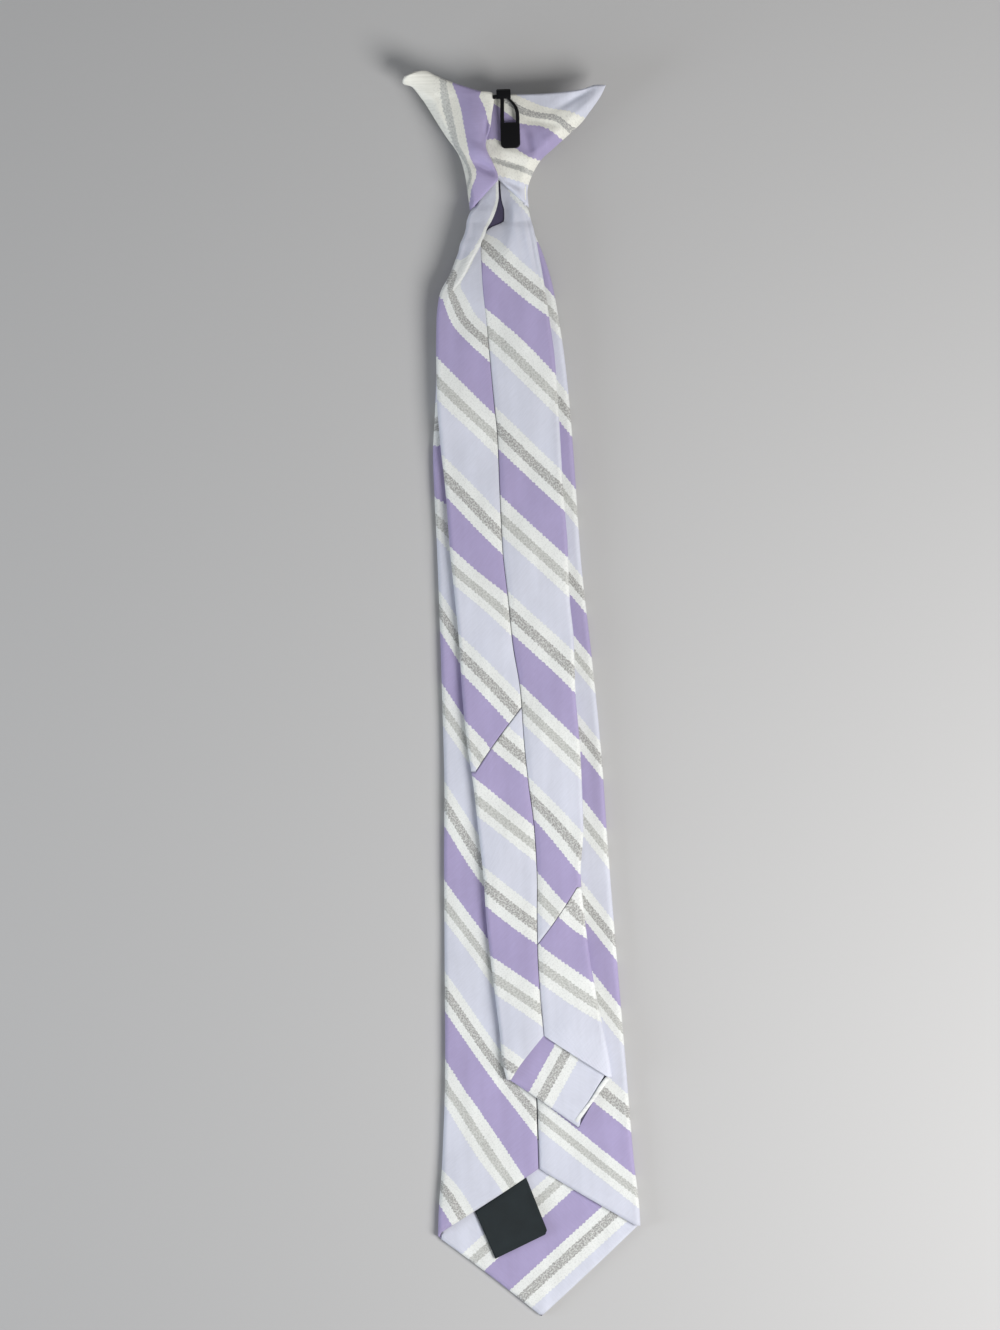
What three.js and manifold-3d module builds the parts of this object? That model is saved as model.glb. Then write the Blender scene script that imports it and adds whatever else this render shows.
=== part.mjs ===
import * as THREE from "three";
import { mergeVertices } from "three/addons/utils/BufferGeometryUtils.js";
import Module from "manifold-3d";

// A clip-on necktie lying on its front, back upwards. Lengths are in millimetres.
// +X is the tie's right as seen from its back, +Y runs from the point up to the knot, +Z is up.

// Driving sizes of the cloth and of what is folded from it
const tieLength = 508;
const clothWall = 1;
const clearance = 0.3;
const seamGap = 0.5;

const bladeWidth = 83;
const bladeThickness = 3.8;
const bladePoint = 35.5;
const bladeFlapRise = 24.3;

const tailWidth = 49.2;
const tailThickness = 3.6;
const tailEndFromTip = 76.1;
const tailPoint = 20.3;
const tailFlapRise = 17.5;
const tailPointShare = 0.36;
const joinLowEnd = 150.9;
const joinRise = 96.7;
const joinGap = 0.5;

const facingDepth = 36;
const facingInset = 1.2;

const labelLength = 23.8;
const labelDepth = 24;
const labelThickness = 0.8;
const labelFromSeam = 6.4;
const labelCornerRadius = 1.5;
const labelSideLean = THREE.MathUtils.degToRad(20.5);
const labelFootLean = THREE.MathUtils.degToRad(25);

// Driving sizes of the knot
const knotHeight = 49;
const wingSpan = 83;
const knotDepth = 15;
const knotWall = 1.5;
const wingWall = 1.6;
const knotTopCurl = 4;

// Driving sizes of the clip
const clipWidth = 7.9;
const clipPadLength = 10.2;
const clipPadRadius = 1.9;
const clipThickness = 1.2;
const clipLegWidth = 1.5;
const clipLegLength = 11.5;
const clipHookWidth = 5.7;
const clipHookReach = 11;
const clipMiddle = 1.75;
const clipNub = 1.4;

// The blade's outline, row by row. at is a share of the length below the knot, and passes 1 inside the knot,
// left and right are shares of bladeWidth, lift is a share of the height at which the cloth leaves the knot.
const bladeSections = [
  { at: 0.079, left: -0.492, right: 0.502, lift: 0 },
  { at: 0.141, left: -0.465, right: 0.476, lift: 0 },
  { at: 0.231, left: -0.436, right: 0.449, lift: 0 },
  { at: 0.322, left: -0.423, right: 0.423, lift: 0 },
  { at: 0.457, left: -0.402, right: 0.389, lift: 0 },
  { at: 0.594, left: -0.396, right: 0.345, lift: 0 },
  { at: 0.684, left: -0.398, right: 0.305, lift: 0 },
  { at: 0.774, left: -0.404, right: 0.285, lift: 0 },
  { at: 0.865, left: -0.36, right: 0.255, lift: 0.15 },
  { at: 0.911, left: -0.33, right: 0.224, lift: 0.45 },
  { at: 0.956, left: -0.232, right: 0.172, lift: 0.85 },
  { at: 0.984, left: -0.17, right: 0.095, lift: 1 },
  { at: 1.002, left: -0.15, right: 0.058, lift: 1 },
  { at: 1.039, left: -0.146, right: 0.055, lift: 1 },
];

const bladeSeam = 0.01;

// The tail's outline and its back seam, row by row. at is a share of the length below the knot, left, seam
// and right are shares of tailWidth, gap is the opening of the seam as a share of tailWidth, roll is the
// height of the roll in the left flap as a share of tailThickness.
const tailSections = [
  { at: 0.214, left: -0.226, seam: 0.112, right: 0.642, gap: 0, roll: 0 },
  { at: 0.257, left: -0.276, seam: 0.089, right: 0.583, gap: 0, roll: 0 },
  { at: 0.292, left: -0.305, seam: 0.071, right: 0.53, gap: 0, roll: 0 },
  { at: 0.326, left: -0.335, seam: 0.061, right: 0.486, gap: 0, roll: 0 },
  { at: 0.361, left: -0.36, seam: 0.065, right: 0.455, gap: 0, roll: 0 },
  { at: 0.396, left: -0.37, seam: 0.075, right: 0.435, gap: 0, roll: 0 },
  { at: 0.444, left: -0.402, seam: 0.063, right: 0.47, gap: 0, roll: 0 },
  { at: 0.517, left: -0.472, seam: 0.002, right: 0.459, gap: 0, roll: 0 },
  { at: 0.61, left: -0.514, seam: -0.069, right: 0.437, gap: 0, roll: 0 },
  { at: 0.696, left: -0.569, seam: -0.13, right: 0.409, gap: 0, roll: 0 },
  { at: 0.794, left: -0.622, seam: -0.142, right: 0.374, gap: 0, roll: 0 },
  { at: 0.866, left: -0.634, seam: -0.185, right: 0.35, gap: 0, roll: 0 },
  { at: 0.903, left: -0.622, seam: -0.205, right: 0.313, gap: 0, roll: 0.1 },
  { at: 0.931, left: -0.575, seam: -0.225, right: 0.285, gap: 0, roll: 0.3 },
  { at: 0.954, left: -0.453, seam: -0.22, right: 0.25, gap: 0, roll: 0.5 },
  { at: 0.973, left: -0.403, seam: -0.19, right: 0.226, gap: 0.01, roll: 0.5 },
  { at: 0.99, left: -0.34, seam: -0.075, right: 0.186, gap: 0.11, roll: 0.3 },
  { at: 1, left: -0.295, seam: -0.055, right: 0.14, gap: 0.07, roll: 0.1 },
  { at: 1.009, left: -0.25, seam: -0.06, right: 0.1, gap: 0.03, roll: 0 },
  { at: 1.044, left: -0.245, seam: -0.06, right: 0.095, gap: 0, roll: 0 },
];

// The wrap over the knot's front. at is a share of knotHeight, left and right are shares of wingSpan,
// rim is the height of its turned-up edge as a share of knotDepth, square is how square its section is.
const wrapSections = [
  { at: 0.04, left: -0.187, right: 0.1, rim: 0.68, square: 5 },
  { at: 0.25, left: -0.195, right: 0.105, rim: 0.68, square: 4.6 },
  { at: 0.45, left: -0.215, right: 0.17, rim: 0.66, square: 3.6 },
  { at: 0.7, left: -0.265, right: 0.27, rim: 0.63, square: 3 },
  { at: 0.92, left: -0.31, right: 0.32, rim: 0.59, square: 2.8 },
];

// The knot's back pieces, each a strip from its inner edge to its outer edge, row by row from the neck to
// the wing. x is a share of wingSpan, y is a share of knotHeight above the neck, z is the height of the
// strip's underside as a share of knotDepth. bow is how far the row sags, as a share of knotHeight.
const leftWingRows = [
  { innerX: -0.049, innerY: 0.25, innerZ: 0.885, outerX: -0.188, outerY: 0.008, outerZ: 0.71, bow: 0 },
  { innerX: -0.053, innerY: 0.32, innerZ: 0.89, outerX: -0.196, outerY: 0.155, outerZ: 0.71, bow: 0 },
  { innerX: -0.069, innerY: 0.405, innerZ: 0.9, outerX: -0.209, outerY: 0.32, outerZ: 0.71, bow: 0 },
  { innerX: -0.1, innerY: 0.545, innerZ: 0.905, outerX: -0.236, outerY: 0.48, outerZ: 0.7, bow: 0 },
  { innerX: -0.08, innerY: 0.68, innerZ: 0.905, outerX: -0.295, outerY: 0.633, outerZ: 0.68, bow: 0 },
  { innerX: -0.095, innerY: 0.8, innerZ: 0.9, outerX: -0.342, outerY: 0.765, outerZ: 0.67, bow: 0 },
  { innerX: -0.124, innerY: 0.955, innerZ: 0.88, outerX: -0.393, outerY: 0.915, outerZ: 0.66, bow: 0 },
  { innerX: -0.18, innerY: 1.03, innerZ: 0.83, outerX: -0.428, outerY: 1.0, outerZ: 0.65, bow: 0.01 },
  { innerX: -0.26, innerY: 1.085, innerZ: 0.79, outerX: -0.456, outerY: 1.055, outerZ: 0.64, bow: 0.01 },
  { innerX: -0.335, innerY: 1.14, innerZ: 0.78, outerX: -0.492, outerY: 1.085, outerZ: 0.66, bow: 0 },
  { innerX: -0.375, innerY: 1.183, innerZ: 0.8, outerX: -0.5, outerY: 1.105, outerZ: 0.72, bow: 0 },
  { innerX: -0.43, innerY: 1.18, innerZ: 0.82, outerX: -0.488, outerY: 1.14, outerZ: 0.78, bow: 0 },
];
const rightWingRows = [
  { innerX: -0.1, innerY: 0.29, innerZ: 0.7, outerX: 0.1, outerY: 0.02, outerZ: 0.71, bow: 0 },
  { innerX: -0.11, innerY: 0.41, innerZ: 0.7, outerX: 0.1, outerY: 0.17, outerZ: 0.71, bow: 0 },
  { innerX: -0.12, innerY: 0.53, innerZ: 0.7, outerX: 0.158, outerY: 0.39, outerZ: 0.7, bow: 0 },
  { innerX: -0.13, innerY: 0.65, innerZ: 0.7, outerX: 0.243, outerY: 0.52, outerZ: 0.69, bow: 0 },
  { innerX: -0.14, innerY: 0.77, innerZ: 0.7, outerX: 0.359, outerY: 0.69, outerZ: 0.68, bow: 0 },
  { innerX: -0.145, innerY: 0.87, innerZ: 0.69, outerX: 0.41, outerY: 0.79, outerZ: 0.67, bow: 0.01 },
  { innerX: -0.145, innerY: 0.93, innerZ: 0.69, outerX: 0.468, outerY: 0.92, outerZ: 0.68, bow: 0.02 },
  { innerX: -0.145, innerY: 0.985, innerZ: 0.69, outerX: 0.498, outerY: 1.015, outerZ: 0.7, bow: 0.035 },
];
const wingCrown = 0.06;

// The left wing's tip is the tie's upper end, and the knot's foot lies below it.
const knotFromTip = tieLength - knotHeight * Math.max(...leftWingRows.map((row) => row.innerY));

// Heights at which the layers lie
const neckLift = knotWall + 3 * clearance;
const tailOverBlade = bladeThickness + clearance;
const facingLift = clothWall + clearance;
const labelLift = facingLift + clothWall + clearance;

const cloths = {
  lavender: new THREE.Color(0xc9cdda),
  purple: new THREE.Color(0xa79dbf),
  white: new THREE.Color(0xe9eae7),
  black: new THREE.Color(0x16181c),
};

// The value of one column of a table at a place between its rows, on a smooth curve through them.
function columnAt(rows, name, at) {
  const last = rows.length - 1;
  if (at <= rows[0].at) return rows[0][name];
  if (at >= rows[last].at) return rows[last][name];
  let i = 0;
  while (rows[i + 1].at < at) i += 1;
  const slope = (a, b) => (rows[b][name] - rows[a][name]) / (rows[b].at - rows[a].at);
  const span = rows[i + 1].at - rows[i].at;
  const step = slope(i, i + 1);
  const limited = (a, b) => (a * b <= 0 ? 0 : (2 * a * b) / (a + b));
  const before = i > 0 ? limited(slope(i - 1, i), step) : step;
  const after = i + 1 < last ? limited(step, slope(i + 1, i + 2)) : step;
  const t = (at - rows[i].at) / span;
  const rise = rows[i + 1][name] - rows[i][name];
  return (
    rows[i][name] +
    span * before * t * (1 - t) * (1 - t) +
    rise * t * t * (3 - 2 * t) -
    span * after * t * t * (1 - t)
  );
}

// The value at a share of the way from a to b.
const between = (a, b, share) => a + (b - a) * share;

// A closed wall over a grid of columns and rows: outer and inner give the two sides' places.
function wallGeometry(columns, rows, outer, inner) {
  const places = [];
  for (const side of [outer, inner])
    for (let r = 0; r <= rows; r += 1)
      for (let c = 0; c <= columns; c += 1) places.push(...side(c, r));
  const under = (columns + 1) * (rows + 1);
  const at = (c, r) => r * (columns + 1) + c;
  const index = [];
  const quad = (a, b, c, d) => index.push(a, b, c, a, c, d);
  for (let r = 0; r < rows; r += 1)
    for (let c = 0; c < columns; c += 1) {
      const corners = [at(c, r), at(c + 1, r), at(c + 1, r + 1), at(c, r + 1)];
      quad(...corners);
      quad(...corners.map((corner) => corner + under).reverse());
    }
  const rim = (a, b) => quad(b, a, a + under, b + under);
  for (let c = 0; c < columns; c += 1) {
    rim(at(c, 0), at(c + 1, 0));
    rim(at(c + 1, rows), at(c, rows));
  }
  for (let r = 0; r < rows; r += 1) {
    rim(at(columns, r), at(columns, r + 1));
    rim(at(0, r + 1), at(0, r));
  }
  return facingOut(places, index);
}

// A geometry whose faces all point outwards, whichever way round its grid runs.
function facingOut(places, index) {
  const corner = (i) => new THREE.Vector3().fromArray(places, 3 * index[i]);
  let volume = 0;
  for (let i = 0; i < index.length; i += 3)
    volume += corner(i).dot(corner(i + 1).cross(corner(i + 2)));
  const turned = volume < 0 ? index.toReversed() : index;
  const geometry = new THREE.BufferGeometry();
  geometry.setAttribute("position", new THREE.Float32BufferAttribute(places, 3));
  geometry.setIndex(turned);
  return geometry;
}

// The columns of a cloth folded round to a seam at the back, from the seam's right lip to its left lip.
// share runs over the part named, and unfolded runs over the whole cloth laid flat.
function foldedColumns(pointShare, flapSteps, foldSteps, frontSteps) {
  const columns = [];
  const add = (part, steps, first, reach) => {
    for (let i = first; i <= steps; i += 1) {
      const share = i / steps;
      columns.push({ part, share: reach(share) });
    }
  };
  const front = (share) =>
    share < 0.5 ? 2 * share * pointShare : between(pointShare, 1, 2 * share - 1);
  add("rightFlap", flapSteps, 0, (share) => share);
  add("rightFold", foldSteps, 1, (share) => share);
  add("front", frontSteps, 1, front);
  add("leftFold", foldSteps, 1, (share) => share);
  add("leftFlap", flapSteps, 1, (share) => share);
  return columns;
}

// Where a column lies across the tie, and how high, in a section of the folded cloth.
// depth is 0 on the cloth's outer side and clothWall on its inner side.
function foldedPlace(column, section, thickness, depth) {
  const radius = thickness / 2;
  const rightBend = section.right - radius;
  const leftBend = section.left + radius;
  const top = thickness - depth;
  if (column.part === "rightFlap") {
    const lip = section.seam + section.gap / 2;
    return [between(lip, rightBend, column.share), top];
  }
  if (column.part === "front") return [between(rightBend, leftBend, column.share), depth];
  if (column.part === "leftFlap") {
    const lip = section.seam - section.gap / 2;
    const roll = section.roll * Math.sin(Math.PI * Math.sqrt(column.share));
    return [between(leftBend, lip, column.share), top + roll];
  }
  const angle = Math.PI * column.share;
  const out = (radius - depth) * Math.sin(angle);
  const up = (radius - depth) * Math.cos(angle);
  if (column.part === "rightFold") return [rightBend + out, radius + up];
  return [leftBend - out, radius - up];
}

// How far up the tie the cloth's pointed lower edge is at a column: up the flaps to the seam,
// down the front to the point.
function pointedEdge(column, pointShare, tip, point, flapRise) {
  const corner = tip + point;
  if (column.part === "rightFlap") return between(corner + flapRise, corner, column.share);
  if (column.part === "leftFlap") return between(corner, corner + flapRise, column.share);
  if (column.part !== "front") return corner;
  if (column.share < pointShare) return between(corner, tip, column.share / pointShare);
  return between(tip, corner, (column.share - pointShare) / (1 - pointShare));
}

// The tail's slanting join, straight across the cloth laid flat, from the right lip up to the left lip.
function joinEdge(column) {
  const rightFlapShare = 0.235;
  const leftFlapShare = 0.265;
  if (column.part === "rightFlap") return joinLowEnd + joinRise * rightFlapShare * column.share;
  const rightFoldAt = joinLowEnd + joinRise * rightFlapShare;
  const leftFoldAt = joinLowEnd + joinRise * (1 - leftFlapShare);
  if (column.part === "rightFold") return rightFoldAt;
  if (column.part === "front") return between(rightFoldAt, leftFoldAt, column.share);
  if (column.part === "leftFold") return leftFoldAt;
  return between(leftFoldAt, joinLowEnd + joinRise, column.share);
}

const bladeSectionAt = (y) => {
  const value = (name) => columnAt(bladeSections, name, y / knotFromTip);
  return {
    left: bladeWidth * value("left"),
    right: bladeWidth * value("right"),
    seam: bladeSeam * bladeWidth,
    gap: seamGap,
    roll: 0,
    base: neckLift * value("lift"),
  };
};

const tailSectionAt = (y) => {
  const value = (name) => columnAt(tailSections, name, y / knotFromTip);
  return {
    left: tailWidth * value("left"),
    right: tailWidth * value("right"),
    seam: tailWidth * value("seam"),
    gap: seamGap + tailWidth * value("gap"),
    roll: tailThickness * value("roll"),
    base: bladeSectionAt(y).base + tailOverBlade,
  };
};

// A folded cloth from its lower edge to its upper edge. Its rows lie closer together towards the knot.
function foldedCloth({ columns, rows, crowding, thickness, sectionAt, lower, upper }) {
  const side = (depth) => (c, r) => {
    const column = columns[c];
    const share = 1 - (1 - r / rows) ** crowding;
    const y = between(lower(column), upper(column), share);
    const section = sectionAt(y);
    const [x, z] = foldedPlace(column, section, thickness, depth);
    return [x, y, section.base + z];
  };
  return wallGeometry(columns.length - 1, rows, side(0), side(clothWall));
}

// The facing inside a pointed end: a flat cloth on the front's inner side, cut to the point.
function facing({ pointShare, sectionAt, thickness, tip, point }) {
  const columns = 8;
  const rows = 6;
  const margin = thickness / 2 + clearance;
  const place = (height) => (c, r) => {
    const half = c / columns;
    const share = half < 0.5 ? 2 * half * pointShare : between(pointShare, 1, 2 * half - 1);
    const column = { part: "front", share };
    const lower = pointedEdge(column, pointShare, tip + facingInset, point, 0);
    const y = between(lower, tip + point + facingDepth, r / rows);
    const section = sectionAt(y);
    const x = between(section.right - margin, section.left + margin, share);
    return [x, y, section.base + height];
  };
  return wallGeometry(columns, rows, place(facingLift + clothWall), place(facingLift));
}

// The wrap over the knot's front: convex below, its sides turned up, its top edge curled up between them.
function knotFront() {
  const columns = 16;
  const straightRows = 8;
  const curlRows = 4;
  const top = wrapSections[wrapSections.length - 1].at;
  const place = (depth) => (c, r) => {
    const share = Math.min(r / straightRows, 1);
    const at = between(wrapSections[0].at, top, share);
    const value = (name) => columnAt(wrapSections, name, at);
    const left = wingSpan * value("left");
    const right = wingSpan * value("right");
    const rim = knotDepth * value("rim");
    const across = Math.sin(Math.PI * (c / columns - 0.5));
    const square = value("square");
    const turnedUp = 1 - (1 - Math.abs(across) ** square) ** (1 / square);
    const curl = Math.max(0, r - straightRows) / curlRows;
    const curlAngle = (curl * Math.PI) / 2;
    const reach = (knotTopCurl - depth) * Math.sin(curlAngle);
    const floor = between(depth, rim, 1 - Math.cos(curlAngle));
    const half = (right - left) / 2 - depth;
    const x = (left + right) / 2 + half * across;
    const y = knotFromTip + knotHeight * at + reach;
    return [x, y, between(floor, rim, turnedUp)];
  };
  return wallGeometry(columns, straightRows + curlRows, place(0), place(knotWall));
}

// A place on the underside of one row of a back piece, at a share of the way to its outer edge.
function wingUnderside(row, share) {
  const swell = Math.sin(Math.PI * share);
  const x = wingSpan * between(row.innerX, row.outerX, share);
  const y = knotHeight * (between(row.innerY, row.outerY, share) - row.bow * swell);
  const z = knotDepth * (between(row.innerZ, row.outerZ, share) + wingCrown * swell);
  return new THREE.Vector3(x, knotFromTip + y, z);
}

// One of the knot's back pieces, crowned between its edges.
function knotWing(rows) {
  const columns = 8;
  const place = (height) => (c, r) => {
    const under = wingUnderside(rows[r], c / columns);
    return [under.x, under.y, under.z + height];
  };
  return wallGeometry(columns, rows.length - 1, place(wingWall), place(0));
}

const wasm = await Module();
wasm.setup();

// A closed geometry as a solid that can be joined to others.
function solidOf(geometry) {
  const bare = geometry.clone();
  bare.deleteAttribute("normal");
  bare.deleteAttribute("uv");
  const merged = mergeVertices(bare, 1e-3);
  const mesh = new wasm.Mesh({
    numProp: 3,
    vertProperties: merged.attributes.position.array,
    triVerts: new Uint32Array(merged.index.array),
  });
  return new wasm.Manifold(mesh);
}

function geometryOf(solid) {
  const mesh = solid.getMesh();
  const geometry = new THREE.BufferGeometry();
  geometry.setAttribute("position", new THREE.BufferAttribute(mesh.vertProperties, 3));
  geometry.setIndex(new THREE.BufferAttribute(mesh.triVerts, 1));
  return geometry;
}

// The clip: a hook over the knot's top edge, two legs round an oval window, and a pad with round corners.
function clipGeometry() {
  const hookLeft = clipMiddle - clipWidth / 2 - clipNub / 2;
  const topRow = rightWingRows[rightWingRows.length - 1];
  const rowStart = wingSpan * topRow.innerX;
  const edge = wingUnderside(topRow, (hookLeft - rowStart) / (wingSpan * topRow.outerX - rowStart));
  const edgeTop = edge.y;
  const crest = Math.max(...rightWingRows.map((row) => wingUnderside(row, 0.5).z));
  const padBottom = crest + wingWall + 2 * clearance;
  const padHigh = edgeTop - clipLegLength;
  const left = clipMiddle - clipWidth / 2;
  const right = clipMiddle + clipWidth / 2;

  const cornerHigh = padHigh - clipPadLength + clipPadRadius;
  const padShape = new THREE.Shape();
  padShape.moveTo(left, padHigh + clipLegWidth);
  padShape.lineTo(left, cornerHigh);
  padShape.absarc(left + clipPadRadius, cornerHigh, clipPadRadius, Math.PI, 1.5 * Math.PI);
  padShape.absarc(right - clipPadRadius, cornerHigh, clipPadRadius, 1.5 * Math.PI, 2 * Math.PI);
  padShape.lineTo(right, padHigh + clipLegWidth);
  padShape.absarc(clipMiddle, padHigh + clipLegWidth, clipWidth / 2 - clipLegWidth, 0, Math.PI, true);
  const pad = new THREE.ExtrudeGeometry(padShape, {
    depth: clipThickness, bevelEnabled: false, curveSegments: 6,
  });
  pad.translate(0, 0, padBottom);

  const hookTop = padBottom + clipThickness;
  const hookUnder = edge.z - clearance - clipThickness;
  const outerEnd = edgeTop - 2 * clipThickness;
  const face = edgeTop + clearance;
  const hookShape = new THREE.Shape();
  hookShape.moveTo(outerEnd, padBottom);
  hookShape.lineTo(outerEnd, hookTop);
  hookShape.lineTo(face, hookTop);
  hookShape.quadraticCurveTo(face + clipThickness, hookTop, face + clipThickness, hookTop - clipThickness);
  hookShape.lineTo(face + clipThickness, hookUnder + clipThickness);
  hookShape.quadraticCurveTo(face + clipThickness, hookUnder, face, hookUnder);
  hookShape.lineTo(edgeTop - clipHookReach, hookUnder);
  hookShape.lineTo(edgeTop - clipHookReach, hookUnder + clipThickness);
  hookShape.lineTo(face, hookUnder + clipThickness);
  hookShape.lineTo(face, padBottom);
  const hook = new THREE.ExtrudeGeometry(hookShape, {
    depth: clipHookWidth, bevelEnabled: false, curveSegments: 5,
  });
  hook.rotateX(Math.PI / 2);
  hook.rotateZ(Math.PI / 2);
  hook.translate(hookLeft, 0, 0);

  const legSection = new THREE.Shape();
  legSection.moveTo(-clipThickness / 2, -clipLegWidth / 2);
  legSection.lineTo(clipThickness / 2, -clipLegWidth / 2);
  legSection.lineTo(clipThickness / 2, clipLegWidth / 2);
  legSection.lineTo(-clipThickness / 2, clipLegWidth / 2);
  const middle = padBottom + clipThickness / 2;
  const legTop = outerEnd + clipThickness / 2;
  const leftLeg = left + clipLegWidth / 2;
  const rightLeg = right - clipLegWidth / 2;
  const routes = [
    [
      new THREE.Vector3(leftLeg, legTop, middle),
      new THREE.Vector3(leftLeg, between(legTop, padHigh, 0.5), middle + clipThickness / 3),
      new THREE.Vector3(leftLeg, padHigh, middle),
    ],
    [
      new THREE.Vector3(hookLeft + clipHookWidth - clipLegWidth / 2, legTop, middle),
      new THREE.Vector3(rightLeg, between(legTop, padHigh, 0.4), middle + clipThickness / 3),
      new THREE.Vector3(rightLeg, padHigh, middle),
    ],
  ];
  const legs = routes.map(
    (route) =>
      new THREE.ExtrudeGeometry(legSection, {
        steps: 8, bevelEnabled: false, extrudePath: new THREE.CatmullRomCurve3(route),
      }),
  );
  const nub = new THREE.BoxGeometry(clipNub, 1.2 * clipNub, clipThickness);
  nub.translate(hookLeft - clipNub / 2 + clearance, edgeTop - clipNub, middle);

  const solids = [pad, hook, ...legs, nub].map(solidOf);
  return geometryOf(solids.reduce((whole, solid) => whole.add(solid)));
}

// The label: a piece of woven tape, a little askew, its top edge along the left flap's lower edge.
function labelGeometry() {
  const reach = -bladeWidth * bladeSections[0].left - bladeThickness / 2;
  const slope = Math.atan2(bladeFlapRise, reach);
  const flap = new THREE.Vector2(-Math.cos(slope), -Math.sin(slope));
  const away = new THREE.Vector2(Math.sin(slope), -Math.cos(slope)).multiplyScalar(2 * clearance);
  const side = new THREE.Vector2(Math.sin(labelSideLean), -Math.cos(labelSideLean));
  const foot = new THREE.Vector2(-Math.cos(labelFootLean), -Math.sin(labelFootLean));
  const seamFoot = new THREE.Vector2(bladeWidth * bladeSeam, bladePoint + bladeFlapRise).add(away);
  const topRight = seamFoot.clone().addScaledVector(flap, labelFromSeam);
  const lowRight = topRight.clone().addScaledVector(side, labelDepth);
  const lowLeft = lowRight.clone().addScaledVector(foot, labelLength);
  const climb = lowLeft.clone().sub(topRight).cross(flap) / side.cross(flap);
  const topLeft = lowLeft.clone().addScaledVector(side, -climb);
  const cornerFoot = lowRight.clone().addScaledVector(foot, labelCornerRadius);
  const cornerSide = lowRight.clone().addScaledVector(side, -labelCornerRadius);
  const shape = new THREE.Shape([topRight, topLeft, lowLeft, cornerFoot]);
  shape.quadraticCurveTo(lowRight.x, lowRight.y, cornerSide.x, cornerSide.y);
  const label = new THREE.ExtrudeGeometry(shape, {
    depth: labelThickness, bevelEnabled: false, curveSegments: 4,
  });
  return label.translate(0, 0, labelLift);
}

const bladeColumns = foldedColumns(0.5, 4, 4, 8);
const tailColumns = foldedColumns(tailPointShare, 5, 4, 6);
const bladeEdge = (column) => pointedEdge(column, 0.5, 0, bladePoint, bladeFlapRise);
const tailEdge = (column) =>
  pointedEdge(column, tailPointShare, tailEndFromTip, tailPoint, tailFlapRise);
const bladeTop = knotFromTip * bladeSections[bladeSections.length - 1].at;
const tailTop = knotFromTip * tailSections[tailSections.length - 1].at;

const pieces = [
  { name: "knot_front", geometry: knotFront(), colour: cloths.lavender },
  { name: "knot_wing_left", geometry: knotWing(leftWingRows), colour: cloths.purple },
  { name: "knot_wing_right", geometry: knotWing(rightWingRows), colour: cloths.white },
  { name: "clip", geometry: clipGeometry(), colour: cloths.black, roughness: 0.35 },
  {
    name: "blade",
    geometry: foldedCloth({
      columns: bladeColumns, rows: 20, crowding: 1.3, thickness: bladeThickness,
      sectionAt: bladeSectionAt, lower: bladeEdge, upper: () => bladeTop,
    }),
    colour: cloths.lavender,
  },
  {
    name: "blade_tipping",
    geometry: facing({
      pointShare: 0.5, sectionAt: bladeSectionAt, thickness: bladeThickness, tip: 0, point: bladePoint,
    }),
    colour: cloths.purple,
  },
  { name: "label", geometry: labelGeometry(), colour: cloths.black, roughness: 0.7 },
  {
    name: "tail_upper",
    geometry: foldedCloth({
      columns: tailColumns, rows: 24, crowding: 1.6, thickness: tailThickness,
      sectionAt: tailSectionAt, lower: (column) => joinEdge(column) + joinGap, upper: () => tailTop,
    }),
    colour: cloths.lavender,
  },
  {
    name: "tail_lower",
    geometry: foldedCloth({
      columns: tailColumns, rows: 10, crowding: 1, thickness: tailThickness,
      sectionAt: tailSectionAt, lower: tailEdge, upper: joinEdge,
    }),
    colour: cloths.lavender,
  },
  {
    name: "tail_tipping",
    geometry: facing({
      pointShare: tailPointShare, sectionAt: tailSectionAt, thickness: tailThickness,
      tip: tailEndFromTip, point: tailPoint,
    }),
    colour: cloths.purple,
  },
];

const tie = new THREE.Group();
for (const piece of pieces) {
  const material = new THREE.MeshStandardMaterial({
    color: piece.colour, roughness: piece.roughness ?? 0.6, metalness: 0,
  });
  const mesh = new THREE.Mesh(piece.geometry, material);
  mesh.name = piece.name;
  tie.add(mesh);
}

// The origin is the middle of the tie's outline, on the surface that it lies on.
const outline = new THREE.Box3().setFromObject(tie);
const middle = outline.getCenter(new THREE.Vector3());
tie.position.set(-middle.x, -middle.y, -outline.min.z);

export default tie;
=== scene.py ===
import math

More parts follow.
